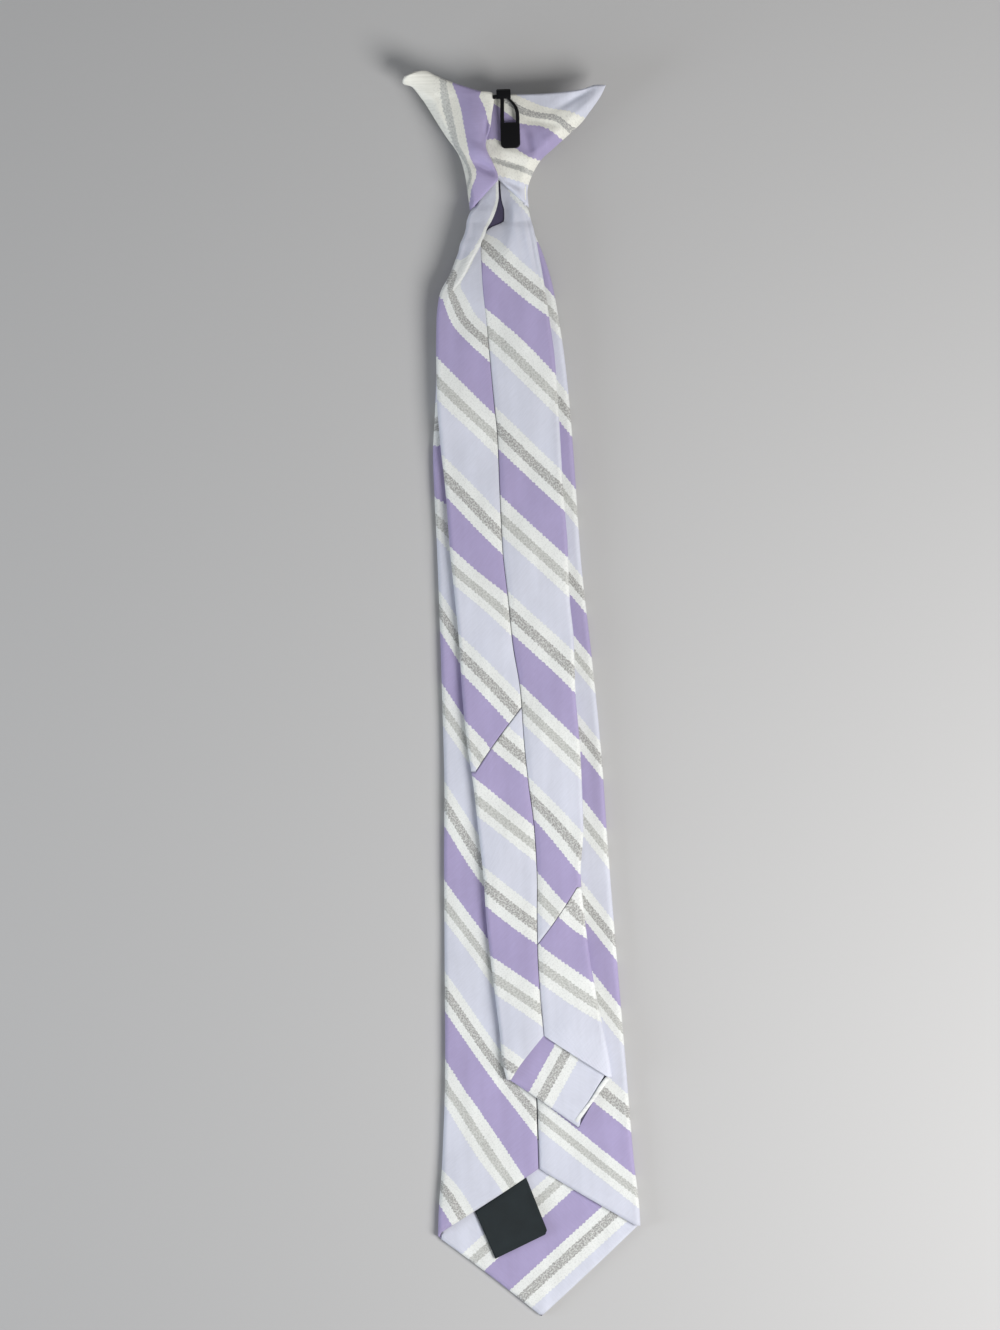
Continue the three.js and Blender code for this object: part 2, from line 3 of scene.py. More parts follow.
import bpy
import numpy as np
from bpy.props import FloatProperty, FloatVectorProperty, IntProperty, PointerProperty
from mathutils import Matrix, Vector


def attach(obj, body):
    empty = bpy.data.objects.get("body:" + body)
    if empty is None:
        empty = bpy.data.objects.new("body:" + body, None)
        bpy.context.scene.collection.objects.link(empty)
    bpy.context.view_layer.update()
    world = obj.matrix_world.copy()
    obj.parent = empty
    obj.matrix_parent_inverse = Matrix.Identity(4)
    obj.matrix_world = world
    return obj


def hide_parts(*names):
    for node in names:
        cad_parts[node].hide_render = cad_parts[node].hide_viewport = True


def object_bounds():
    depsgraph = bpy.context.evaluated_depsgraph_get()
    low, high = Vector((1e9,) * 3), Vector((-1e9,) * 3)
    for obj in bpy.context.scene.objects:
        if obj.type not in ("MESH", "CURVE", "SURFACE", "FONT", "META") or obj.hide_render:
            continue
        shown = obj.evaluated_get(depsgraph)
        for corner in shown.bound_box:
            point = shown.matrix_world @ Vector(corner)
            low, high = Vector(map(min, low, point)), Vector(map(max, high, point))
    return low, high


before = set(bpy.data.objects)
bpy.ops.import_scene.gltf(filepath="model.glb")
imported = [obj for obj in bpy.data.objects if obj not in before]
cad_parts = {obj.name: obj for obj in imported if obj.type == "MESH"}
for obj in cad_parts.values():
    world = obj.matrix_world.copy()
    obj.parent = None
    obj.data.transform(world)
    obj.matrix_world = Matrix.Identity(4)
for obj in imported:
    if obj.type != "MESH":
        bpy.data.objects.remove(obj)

bl_info = {
    "name": "Clip-On Tie",
    "version": (1, 0, 0),
    "blender": (4, 5, 0),
    "location": "View3D > Sidebar > Tie",
    "description": "Builds a striped clip-on necktie lying on its front, back upwards",
    "category": "Add Mesh",
}

MM = 0.001

# The CAD's box before any piece is added
CAD_BOX = [list(corner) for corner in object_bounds()]

# The blade's point, the place from which the tables below are measured, in millimetres.
# x runs to the right as the tie's back is seen, y runs up to the knot, z is up.
TIP_X = -0.083
TIP_Y = CAD_BOX[0][1] / MM

# The tables give places as they are seen from this height over this place, on a plane this far up, in
# millimetres
EYE_HEIGHT = 2000.0
EYE_X = -8.9
EYE_Y = 265.3
EYE_PLANE = 6.0

# The folded stacks' thicknesses, the heights of the ends' corners above their points, how far the flaps'
# edges rise from the corners to the seam, and the share of the front's width at which the point lies
BLADE_THICKNESS = 3.8
BLADE_CORNER = 35.5
BLADE_FLAP_RISE = 24.3
BLADE_POINT_SHARE = 0.5
TAIL_THICKNESS = 3.6
TAIL_TIP = 76.1
TAIL_CORNER = 20.3
TAIL_FLAP_RISE = 17.5
TAIL_POINT_SHARE = 0.36

# Where the folded cloths end inside the knot, and the tail's height above the blade's underside
NECK = 467.0
TAIL_LIFT = 4.15

# The unevenness of the blade's back, the radius of the folds, and the place on the tail's right flap up to
# which its lip is sunk to the full depth below the knot
BLADE_WAVE = 0.4
FOLD_RADIUS = 1.85
GAP_SIDE = -2.0

# The direction along the stripes on the cloth laid flat, and the cloth's length round one fold
ALONG_X = 0.7
ALONG_Y = -0.714
ROUND_FOLD = 4

# The knot's back pieces: faces along and across, thickness, crown and how far the outer edge turns down
WING_ROWS = 90
WING_COLUMNS = 48
WING_THICKNESS = 1.6
WING_CROWN = 0.9
WING_TURN = 3.2

# The lengths from thread to thread in the cloth and the label's tape, and the height of their relief, in
# metres
CLOTH_THREAD = 0.00042
CLOTH_RIB = 0.00055
TAPE_THREAD = 0.0004
TAPE_RIB = 0.0006
RELIEF = 0.00005

# Where each stripe starts, as a share of one repeat
PURPLE = 0.0
WHITE_BELOW_PURPLE = 0.256
PALE_GREY = 0.347
WHITE_ABOVE_LAVENDER = 0.411
LAVENDER = 0.48
WHITE_BELOW_LAVENDER = 0.77
GREY = 0.85
WHITE_ABOVE_PURPLE = 0.925

# Folded cloths. left and right are the outline, lift the height of the front's underside.
BLADE_ROWS = {
    "y": [0, 34, 43, 63, 104, 145, 186, 226, 267, 308, 349, 369, 389, 410, 420, 430, 437, 443, 448, 453,
          470],
    "left": [-42.5, -41.1, -40.6, -38.6, -36.1, -35.1, -34.1, -32.9, -32.9, -33.1, -33.7, -32.3, -30.8,
             -28.6, -24.4, -20.3, -17.0, -14.6, -13.2, -12.4, -12.2],
    "right": [42.5, 41.5, 41.2, 39.5, 37.3, 35.1, 33.0, 31.4, 28.6, 25.3, 23.7, 22.7, 21.2, 18.6, 17.0,
              14.3, 11.8, 9.2, 7.0, 5.4, 4.6],
    "lift": [0, 0, 0, 0, 0, 0, 0, 0, 0, 0, 0, 0, 0.4, 1.0, 1.4, 2.0, 2.2, 2.4, 2.4, 2.4, 2.4],
}

# seamL and seamR are the two lips of the back seam
TAIL_ROWS = {
    "y": [70, 96, 104, 116, 131, 147, 163, 178, 199, 216, 233, 254, 274, 292, 314, 335, 357, 373, 389,
          406, 413, 418, 424, 428, 431, 434, 437, 440, 443, 446, 450, 453, 456, 470],
    "left": [-7, -11.2, -12.8, -13.6, -15.0, -16.5, -17.7, -18.2, -19.8, -21.2, -23.2, -24.7, -25.3,
             -26.4, -28.0, -28.9, -30.6, -31.3, -31.2, -30.6, -29.8, -28.5, -25.0, -23.2, -22.0, -20.8,
             -20.1, -18.6, -17.6, -17.1, -15.5, -12.9, -12.3, -12.1],
    "seamL": [5.0, 5.2, 4.8, 4.2, 3.3, 2.8, 3.0, 3.5, 2.9, 1.2, -0.1, -1.0, -3.6, -4.9, -6.6, -7.0, -7.2,
              -8.3, -9.3, -10.3, -10.9, -11.3, -11.5, -11.6, -11.6, -11.7, -11.4, -9.9, -8.8, -6.9, -5.1,
              -4.2, -3.7, -3.6],
    "seamR": [5.4, 5.6, 5.2, 4.6, 3.7, 3.2, 3.4, 3.9, 3.3, 1.6, 0.3, -0.6, -3.2, -4.5, -6.2, -6.6, -6.8,
              -7.9, -9.0, -10.25, -10.9, -11.3, -11.5, -11.6, -11.6, -11.7, -11.6, -10.6, -8.0, -1.8,
              -1.7, -2.3, -2.8, -3.2],
    "right": [33, 31.6, 30.8, 28.7, 26.1, 23.9, 22.4, 21.4, 23.1, 23.0, 22.6, 21.5, 21.5, 20.3, 20.1,
              19.0, 18.4, 17.9, 17.2, 15.4, 14.6, 14.0, 13.2, 12.6, 12.1, 11.6, 11.2, 10.6, 10.0, 9.2,
              8.3, 6.4, 4.9, 4.6],
}

# The roll of cloth over the tail's seam below the knot: the share of the left flap that it covers, its
# height above the flap, and how deep the right flap's lip sinks
ROLL_ROWS = {
    "y": [405, 412, 418, 423, 428, 432, 435, 438, 442, 447, 453, 460],
    "reach": [0.10, 0.14, 0.20, 0.32, 0.47, 0.64, 0.84, 1.0, 1.0, 1.0, 1.0, 1.0],
    "crest": [0.0, 0.1, 0.4, 0.8, 1.0, 1.2, 1.3, 1.4, 1.4, 1.3, 1.0, 0.5],
    "sink": [0.0, 0.0, 0.0, 0.0, 0.2, 0.6, 1.1, 1.7, 2.0, 2.0, 1.9, 1.8],
}

# Where the stripes cross the folds and the seams, as repeats counted down the tie from a purple stripe's
# upper edge
BLADE_LEFT_FOLD = [(508, -2), (431, -1), (411, -0.744), (355.1, 0), (334.4, 0.256), (279.5, 1),
                   (258.7, 1.256), (200.5, 2), (178.6, 2.256), (124.9, 3), (105.4, 3.256), (98, 3.347),
                   (92.3, 3.411), (87, 3.48), (61, 3.77), (56.5, 3.85), (52, 3.925), (46.5, 4),
                   (24, 4.27), (0, 4.6)]
BLADE_LEFT_LIP = [(302.1, 0), (281.4, 0.256), (226.5, 1), (205.7, 1.256), (147.5, 2), (125.6, 2.256),
                  (72, 3), (45.5, 3.256), (21.5, 3.48), (-1.8, 3.77), (-21, 4)]
BLADE_RIGHT_FOLD = [(508, -1), (436, 0), (414, 0.256), (356.8, 1), (335.6, 1.256), (284.6, 2),
                    (267.1, 2.256), (216.9, 3), (196.9, 3.256), (143.1, 4), (124.3, 4.256), (73.4, 5),
                    (55.6, 5.256), (48.6, 5.379), (0, 6.1)]
TAIL_LEFT_FOLD = [(460, -0.42), (445, -0.4), (436, -0.33), (430, -0.22), (425, -0.1325), (420, -0.07),
                  (414.6, 0), (391.8, 0.256), (334.3, 1), (314.4, 1.256), (262.6, 2), (243.4, 2.256),
                  (190, 3)]
TAIL_LEFT_SEAM = [(460, -0.19), (437, -0.2), (434, -0.33), (431, -0.44), (424, -0.46), (412, -0.33),
                  (404, -0.24), (396, -0.11), (388.3, 0), (367.1, 0.256), (310, 1), (293.7, 1.256),
                  (234, 2)]
TAIL_RIGHT_SEAM = [(462, -0.5), (446, -0.4), (441.5, -0.24), (437.6, -0.1125), (429.9, 0), (410.8, 0.256),
                   (353.2, 1), (334.5, 1.256), (277.8, 2), (257.8, 2.256), (202.1, 3), (180.7, 3.256),
                   (128, 4)]
TAIL_RIGHT_FOLD = [(462, -0.6), (452, -0.55), (446, -0.52), (413.3, -0.1125), (405.9, 0), (382.6, 0.256),
                   (326.8, 1), (308, 1.256), (252.6, 2), (233.5, 2.256), (178.5, 3), (100, 4)]
LOWER_LEFT_FOLD = [(313, -1), (242, 0), (220.7, 0.256), (167.5, 1), (147.3, 1.256), (70, 2.4)]
LOWER_LEFT_SEAM = [(286, -1), (218.6, 0), (199.4, 0.256), (151.0, 1), (133.1, 1.256), (60, 2.3)]
LOWER_RIGHT_SEAM = [(239, -1), (169.5, 0), (151.8, 0.256), (113, 0.7), (90, 0.75)]
LOWER_RIGHT_FOLD = [(222, -0.9), (173.6, -0.23), (163.2, -0.15), (157, -0.075), (152.6, 0),
                    (134.6, 0.256), (96, 0.7), (70, 0.75)]

BLADE_STRIPES = {"left_fold": BLADE_LEFT_FOLD, "left_lip": BLADE_LEFT_LIP, "right_fold": BLADE_RIGHT_FOLD,
                 "right_lip": [(y + BLADE_CORNER, repeats) for y, repeats in BLADE_RIGHT_FOLD],
                 "front_shift": 0}
TAIL_STRIPES = {"left_fold": TAIL_LEFT_FOLD, "left_lip": TAIL_LEFT_SEAM, "right_fold": TAIL_RIGHT_FOLD,
                "right_lip": TAIL_RIGHT_SEAM, "front_shift": 1}
LOWER_STRIPES = {"left_fold": LOWER_LEFT_FOLD, "left_lip": LOWER_LEFT_SEAM, "right_fold": LOWER_RIGHT_FOLD,
                 "right_lip": LOWER_RIGHT_SEAM, "front_shift": 1}

# The knot's back pieces, row by row from the neck to the wing: inner edge, outer edge, and the height of
# their undersides
LEFT_WING = {
    "ix": [-3.7, -3.9, -5.6, -8.3, -6.5, -5.5, -4.6, -10.4, -15.0, -21.6, -27.8, -31.8, -36.4],
    "iy": [462.6, 465.2, 469.7, 476.7, 483.3, 489.0, 497.6, 499.2, 500.8, 503.2, 505.9, 508.0, 507.8],
    "iz": [12.6, 13.1, 13.4, 13.5, 13.5, 13.4, 13.0, 12.6, 12.3, 12.0, 11.9, 12.1, 12.4],
    "ox": [-15.6, -16.3, -17.3, -19.6, -24.5, -28.4, -32.6, -34.2, -35.6, -37.8, -40.8, -41.5, -40.7],
    "oy": [450.4, 457.6, 465.7, 473.5, 481.0, 487.5, 494.8, 497.0, 499.0, 501.6, 502.6, 503.9, 505.9],
    "oz": [10.0, 10.5, 10.7, 10.5, 10.3, 10.1, 10.0, 9.9, 9.9, 9.8, 10.0, 10.8, 11.7],
}
RIGHT_WING = {
    "ix": [-9.5, -9.5, -10.0, -10.8, -11.6, -12.0, -12.0, -12.0],
    "iy": [468.4, 472.0, 476.5, 482.0, 487.7, 492.6, 495.6, 498.3],
    "iz": [10.3, 10.5, 10.5, 10.5, 10.5, 10.4, 10.4, 10.4],
    "ox": [8.4, 8.4, 13.1, 20.2, 29.8, 34.0, 38.8, 41.3],
    "oy": [451.0, 459.5, 469.1, 475.6, 483.8, 488.7, 495.0, 499.7],
    "oz": [9.8, 10.5, 10.5, 10.4, 10.2, 10.1, 10.3, 10.7],
}

# The stripes on the knot's back pieces: for each station, the places of the stripes' borders
LEFT_WING_BORDERS = {
    "repeats": [0, 0.256, 0.347, 0.411, 0.48],
    450: [-2.6, -16.4, -17.6, -18.8, -20.1],
    457: [-1.1, -15.2, -16.4, -17.6, -18.8],
    460: [-0.3, -14.6, -15.9, -17.0, -18.0],
    464: [0.3, -12.8, -14.4, -15.4, -16.5],
    467: [0.3, -12.5, -14.7, -16.0, -17.3],
    469.5: [0.0, -13.7, -15.7, -16.7, -19.5],
    472: [-1.0, -15.0, -16.4, -18.2, -22.0],
    477: [-4.5, -15.8, -19.2, -21.2, -26.0],
    482: [-5.6, -16.5, -20.1, -22.7, -30.0],
    487: [-7.3, -17.3, -21.0, -23.9, -31.5],
    492: [-8.3, -18.0, -21.9, -25.1, -32.5],
    497: [-10.6, -19.3, -22.8, -26.0, -32.0],
    502: [-8.0, -21.2, -23.5, -26.2, -30.5],
}
RIGHT_WING_BORDERS = {
    "repeats": [-0.23, -0.15, -0.075, 0, 0.256, 0.347, 0.411, 0.48, 0.6, 0.77],
    -4.3: [503.0, 500.0, 497.0, 493.6, 479.4, 471.5, 469.6, 464.5, 458.0, 450.0],
    1.8: [499.4, 496.5, 492.6, 488.6, 476.6, 469.3, 467.3, 462.6, 456.0, 447.5],
    5.5: [496.5, 492.8, 489.6, 485.4, 474.2, 468.0, 466.0, 461.4, 455.2, 445.6],
    9.3: [494.9, 490.9, 488.1, 484.5, 471.6, 466.2, 464.2, 459.6, 453.4, 443.0],
    14.0: [492.6, 489.5, 487.0, 484.1, 469.8, 464.2, 462.2, 457.6, 451.2, 440.0],
    17.5: [491.5, 489.1, 486.7, 482.6, 468.0, 462.4, 460.4, 455.8, 449.4, 438.2],
    20.2: [490.9, 488.7, 485.9, 480.3, 466.4, 460.8, 458.8, 454.2, 447.8, 436.6],
    22.5: [490.5, 487.4, 484.3, 478.2, 465.0, 459.4, 457.4, 452.8, 446.4, 435.2],
    26.5: [489.8, 483.6, 480.2, 474.0, 462.4, 456.8, 454.8, 450.2, 443.8, 432.6],
    34.3: [486.0, 480.0, 475.8, 470.3, 458.1, 452.5, 450.5, 446.0, 440.4, 429.0],
}

# The wrap over the knot's front, row by row above the neck: its sides, the height of its turned-up edges
# and how square its section is
WRAP_ROWS = {
    "y": [452, 462, 472, 484, 493],
    "left": [-14.4, -15.1, -16.8, -20.8, -24.0],
    "right": [7.3, 7.7, 13.0, 21.4, 25.0],
    "rim": [9.6, 9.6, 9.3, 9.0, 8.6],
    "square": [4.4, 4.0, 3.4, 3.0, 2.8],
}


def smooth_at(points, at):
    """The value at each place on a smooth curve that doesn't overshoot its points."""
    ordered = sorted(points)
    xs = np.array([p[0] for p in ordered], float)
    ys = np.array([p[1] for p in ordered], float)
    span = np.diff(xs)
    slope = np.diff(ys) / span
    ends = np.concatenate([[slope[0]], slope, [slope[-1]]])
    before, after = ends[:-1], ends[1:]
    total = np.where(np.abs(before + after) < 1e-9, 1, before + after)
    tangent = np.where(before * after > 0, 2 * before * after / total, 0)
    at = np.clip(at, xs[0], xs[-1])
    i = np.clip(np.searchsorted(xs, at) - 1, 0, len(span) - 1)
    t = (at - xs[i]) / span[i]
    return (ys[i] + span[i] * tangent[i] * t * (1 - t) ** 2 + (ys[i + 1] - ys[i]) * t * t * (3 - 2 * t)
            - span[i] * tangent[i + 1] * t * t * (1 - t))


def column_at(rows, name, y):
    """One column of a table of rows at a height y."""
    return smooth_at(list(zip(rows["y"], rows[name])), y)


def eased(low, high, value):
    """0 below low, 1 above high, with a smooth step between them."""
    t = np.clip((value - low) / (high - low), 0, 1)
    return t * t * (3 - 2 * t)


def between(a, b, share):
    """The value at a share of the way from a to b."""
    return a + (b - a) * share


def near_line(x, y, x1, y1, x2, y2, width):
    """1 on a line between two places, falling to 0 away from it over the width."""
    dx, dy = x2 - x1, y2 - y1
    t = np.clip(((x - x1) * dx + (y - y1) * dy) / (dx * dx + dy * dy), 0, 1)
    away = np.hypot(x - x1 - t * dx, y - y1 - t * dy)
    return np.exp(-((away / width) ** 2)) * np.sin(np.pi * np.clip(t, 0.06, 0.94)) ** 0.5


def soft_edge(share, power, least):
    """1 over most of a width, falling in a round to a least value at both of its ends."""
    return np.sqrt(np.clip(1 - np.abs(2 * share - 1) ** power, least, 1))


def lie(x, y):
    """The slow unevenness of cloth that has been folded and laid down, between -1 and 1."""
    return (0.4 * np.sin(0.11 * x + 0.047 * y + 1.3) + 0.35 * np.sin(0.21 * x - 0.083 * y + 0.4)
            + 0.25 * np.sin(0.05 * x + 0.151 * y + 2.1))


def settled(places):
    """Places from the tables moved to where they lie, so that they are seen from above as measured."""
    places = np.array(places, float)
    eye = np.array([EYE_X, EYE_Y])
    places[:, :2] = eye + (places[:, :2] - eye) * (EYE_HEIGHT - places[:, 2:]) / (EYE_HEIGHT - EYE_PLANE)
    return (places + np.array([TIP_X, TIP_Y, 0])) * MM


def new_piece(name, places, faces, weave, material, replaces, reverse=None, turned_in=()):
    """A mesh object from places in millimetres, with its weave map, riding on the tie's body. The faces that
    are turned in show the cloth's reverse, whose dark colour is painted shade."""
    shifted = settled(places)
    faces = np.asarray(faces)
    a, b, c = (shifted[faces[:, i]] for i in (0, 1, 2))
    d = shifted[faces[:, 3]]
    volume = np.sum(a * np.cross(b, c)) + np.sum(a * np.cross(c, d))
    if volume < 0:
        faces = faces[:, ::-1]
    mesh = bpy.data.meshes.new(name)
    mesh.from_pydata(shifted.tolist(), [], faces.tolist())
    layer = mesh.uv_layers.new(name="weave")
    order = np.empty(len(mesh.loops), dtype=np.int32)
    mesh.loops.foreach_get("vertex_index", order)
    layer.data.foreach_set("uv", np.asarray(weave, float)[order].ravel())
    mesh.polygons.foreach_set("use_smooth", [True] * len(mesh.polygons))
    mesh.materials.append(material)
    if reverse:
        mesh.materials.append(reverse)
        mesh.polygons.foreach_set("material_index", np.asarray(turned_in, dtype=np.int32))
    mesh.validate()
    mesh.update()
    piece = bpy.data.objects.new(name, mesh)
    bpy.context.scene.collection.objects.link(piece)
    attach(piece, "root")
    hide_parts(replaces)
    return piece


def inner_side(grid, faces):
    """1 for the faces on the second side of a wall of this grid's size, 0 for the others."""
    count = (grid.shape[0] - 1) * (grid.shape[1] - 1)
    chosen = np.zeros(len(faces), dtype=np.int32)
    chosen[count:2 * count] = 1
    return chosen


def wall(outer, inner):
    """The faces and places of a closed wall between two grids of places with as many rows and columns."""
    rows, columns = outer.shape[:2]
    count = rows * columns
    grid = np.arange(count).reshape(rows, columns)
    quads = np.stack([grid[:-1, :-1], grid[:-1, 1:], grid[1:, 1:], grid[1:, :-1]], -1).reshape(-1, 4)
    under = quads[:, ::-1] + count
    rim = np.concatenate([grid[0, :], grid[1:, -1], grid[-1, -2::-1], grid[-2:0:-1, 0]])
    following = np.roll(rim, -1)
    band = np.stack([following, rim, rim + count, following + count], -1)
    places = np.concatenate([outer.reshape(-1, 3), inner.reshape(-1, 3)])
    return places, np.concatenate([quads, under, band])


def cloth_piece(name, sides, weave, material, replaces, reverse=None):
    """A piece from the two sides of one cloth and the weave map that they share."""
    places, faces = wall(*sides)
    turned_in = inner_side(sides[0], faces)
    return new_piece(name, places, faces, np.concatenate([weave, weave]), material, replaces, reverse,
                     turned_in)


def stripe_map(repeats, along):
    """The weave map of a grid: the distance across the stripes and the distance along them, in metres."""
    repeat = bpy.context.scene.tie_sizes.stripe_repeat
    return np.stack([np.asarray(repeats) * repeat, np.asarray(along) * MM], -1).reshape(-1, 2)


# The parts of a cloth folded round to a seam at the back, from the right lip round to the left lip
PARTS = ("right flap", "right fold", "front", "left fold", "left flap")


def folded_columns(point_share, steps):
    """The columns of a folded cloth: which part each is in, and its share of that part."""
    parts, shares = [], []
    for number, part in enumerate(PARTS):
        count = steps[part]
        for i in range(0 if number == 0 else 1, count + 1):
            share = i / count
            if part == "front":
                share = 2 * share * point_share if share < 0.5 else between(point_share, 1, 2 * share - 1)
            parts.append(number)
            shares.append(share)
    return np.array(parts), np.array(shares)


def pointed_edge(parts, shares, point_share, tip, point, flap_rise, pushed=0.0):
    """The lower edge of a folded cloth: up the flaps to the seam, down the front to the point. Its left
    corner is pushed down a little."""
    corner = tip + point
    left_share = np.clip((shares - point_share) / (1 - point_share), 0, 1)
    front = np.where(shares < point_share, between(corner, tip, shares / point_share),
                     between(tip, corner, left_share) - pushed * left_share ** 2)
    return np.select([parts == 0, parts == 2, parts == 3, parts == 4],
                     [corner + flap_rise * (1 - shares), front, corner - pushed * (1 - shares),
                      corner + flap_rise * shares], corner)


def join_edge(parts, shares):
    """The tail's slanting join, straight across the cloth laid flat."""
    low, rise = 150.9, 96.7
    right_fold, left_fold = 0.235, 0.735
    across = np.select([parts == 0, parts == 1, parts == 2, parts == 3],
                       [right_fold * shares, right_fold, between(right_fold, left_fold, shares), left_fold],
                       between(left_fold, 1, shares))
    return low + rise * across


def folded_cloth(parts, shares, lower, upper, rows, crowding, section, thickness, cloth):
    """The two sides of a folded cloth as grids of places. section gives the outline and the seam at a
    height, thickness is that of the folded stack, cloth is that of its wall."""
    along = np.linspace(0, 1, rows)
    along = 1 - (1 - along) ** crowding
    y = between(lower[None, :], upper[None, :], along[:, None])
    part = np.broadcast_to(parts, y.shape)
    share = np.broadcast_to(shares, y.shape)
    s = section(y)
    sides = []
    for depth in (0.0, cloth):
        radius = thickness / 2
        right_bend = s["right"] - radius
        left_bend = s["left"] + radius
        angle = np.pi * share
        out = (radius - depth) * np.sin(angle)
        up = (radius - depth) * np.cos(angle)
        top = thickness - depth
        x = np.select([part == number for number in range(5)],
                      [between(s["seamR"], right_bend, share), right_bend + out,
                       between(right_bend, left_bend, share), left_bend - out,
                       between(left_bend, s["seamL"], share)])
        z = np.select([part == number for number in range(5)],
                      [top + 0 * x, radius + up, depth + 0 * x, radius - up, top + 0 * x])
        upper_share = np.clip(z / thickness, 0, 1)
        lip = np.where(part == 0, x - s["seamR"], np.where(part == 4, s["seamL"] - x, 99))
        lip = np.maximum(lip, 0)
        z = z - s["lip_drop"] * np.exp(-((lip / 1.3) ** 2))
        crown = np.where((part == 0) | (part == 4), np.sin(np.pi * share), 0)
        z = z + s["crown"] * crown * upper_share
        z = z + s["wave"] * lie(x * s["ripple"], y * s["ripple"]) * upper_share
        # the roll on the left flap, and the right flap's lip, which sinks beside it
        u = np.clip(share / s["reach"], 0, 1)
        bump = s["crest"] * eased(0, 0.8, u) * (1 - 0.25 * eased(0.85, 1, u))
        bump = np.where((share > s["reach"]) & (s["reach"] < 0.999), 0, bump)
        z = z + np.where(part == 4, bump, 0)
        sink = np.minimum(s["sink"], 2.0 if depth == 0 else 1.5)
        z = z - np.where(part == 0, sink * np.exp(-((np.maximum(x - GAP_SIDE, 0) / 5.5) ** 2)), 0)
        z = z + s["base"] + s["dent"](x, y, part)
        sides.append(np.stack([x, y, z], -1))
    return sides, part, share, y


def flap_repeats(part, share, x, y, section, tables):
    """Where each place lies in the run of stripes, counted in repeats: between fold and lip on the flaps,
    running on round the folds, and between fold and fold on the front."""
    s = section(y)
    left_fold = smooth_at(tables["left_fold"], y) + tables["front_shift"]
    left_lip = smooth_at(tables["left_lip"], y) + tables["front_shift"]
    right_fold = smooth_at(tables["right_fold"], y)
    right_lip = smooth_at(tables["right_lip"], y)
    # the distance from the outline: positive on the back, negative round on the front
    on_back = (part == 0) | (part == 4) | ((part == 1) & (share < 0.5)) | ((part == 3) & (share > 0.5))
    above = np.where(on_back, 1, -1)
    from_left = above * (x - s["left"]) / (s["seamL"] - s["left"])
    from_right = above * (s["right"] - x) / (s["right"] - s["seamR"])
    left = between(left_fold, left_lip, from_left)
    right = between(right_fold, right_lip, from_right)
    left_end = between(left_fold, left_lip, -FOLD_RADIUS / (s["seamL"] - s["left"]))
    right_end = between(right_fold, right_lip, -FOLD_RADIUS / (s["right"] - s["seamR"]))
    return np.select([part <= 1, part == 2], [right, between(right_end, left_end, share)], left)


def cloth_along(part, share, y, section):
    """The distance along the stripes, from the cloth laid flat."""
    s = section(y)
    right = s["right"] - s["seamR"]
    front = s["right"] - s["left"]
    left = s["seamL"] - s["left"]
    across = np.select([part == 0, part == 1, part == 2, part == 3],
                       [right * share, right + ROUND_FOLD * share, right + ROUND_FOLD + front * share,
                        right + front + ROUND_FOLD + ROUND_FOLD * share],
                       right + front + 2 * ROUND_FOLD + left * share)
    return ALONG_X * across + ALONG_Y * y


def blade_section(y):
    """The blade's outline, seam and lie at a height."""
    neck = eased(380, 440, y)
    return {
        "left": column_at(BLADE_ROWS, "left", y), "right": column_at(BLADE_ROWS, "right", y),
        "seamL": 0.55 + 0 * y, "seamR": 1.0 + 0 * y, "lip_drop": 0.55, "crown": 0.2 * (1 - neck),
        "wave": BLADE_WAVE * (1 - neck), "reach": np.ones_like(y), "crest": 0 * y, "sink": 0 * y,
        "base": column_at(BLADE_ROWS, "lift", y), "dent": blade_dent, "ripple": 1.0,
    }


def blade_dent(x, y, part):
    """The dimple in the front below the knot, and the soft crease and crumple at the back's left corner."""
    dimple = 1.5 * np.exp(-(((x + 3.5) / 3.2) ** 2)) * eased(372, 440, y) * (part == 2)
    crease = near_line(x, y, -38.5, 62, -30, 41, 2.4) * 0.55 * (part == 4)
    hump = near_line(x, y, -36.5, 58, -34, 38, 2.0) * 0.5 * (part == 4)
    corner = np.exp(-(((x + 38.5) / 4.5) ** 2) - (((y - 34.5) / 4.5) ** 2))
    crumple = 0.35 * np.sin(2.1 * x + 1.1 * y) + 0.3 * np.sin(1.2 * x - 2.4 * y + 1)
    return dimple - crease + hump + corner * crumple * (part >= 3)


def tail_section(y):
    """The tail's outline, seam and lie at a height."""
    blade = blade_section(y)
    return {
        "left": column_at(TAIL_ROWS, "left", y), "right": column_at(TAIL_ROWS, "right", y),
        "seamL": column_at(TAIL_ROWS, "seamL", y),
        "seamR": column_at(TAIL_ROWS, "seamR", y) - 0.2 * (1 - eased(380, 400, y)),
        "lip_drop": between(0.5, 0.12, eased(392, 408, y)), "crown": 0.3, "wave": 0.3,
        "reach": column_at(ROLL_ROWS, "reach", y), "crest": column_at(ROLL_ROWS, "crest", y),
        "sink": column_at(ROLL_ROWS, "sink", y),
        "base": blade["base"] + TAIL_LIFT, "dent": tail_dent, "ripple": 1.7,
    }


def tail_dent(x, y, part):
    """The gathers below the knot."""
    back = (part == 0) | (part == 4)
    gather = near_line(x, y, 4.5, 455, 9.5, 425, 1.3) * 0.5 + near_line(x, y, 1.5, 452, 4, 432, 1.1) * 0.35
    gather -= near_line(x, y, 7.0, 452, 12.2, 418, 1.0) * 0.45
    gather += near_line(x, y, 4.2, 456, -1.5, 430, 2.6) * 0.9
    below = BLADE_WAVE * (1 - eased(380, 440, y)) * lie(x, y)
    return gather * back + below


class Palette:
    """The materials made once and shared by the pieces."""

    made = {}

    @classmethod
    def get(cls, name, maker):
        if name not in cls.made:
            cls.made[name] = maker(name)
        return cls.made[name]


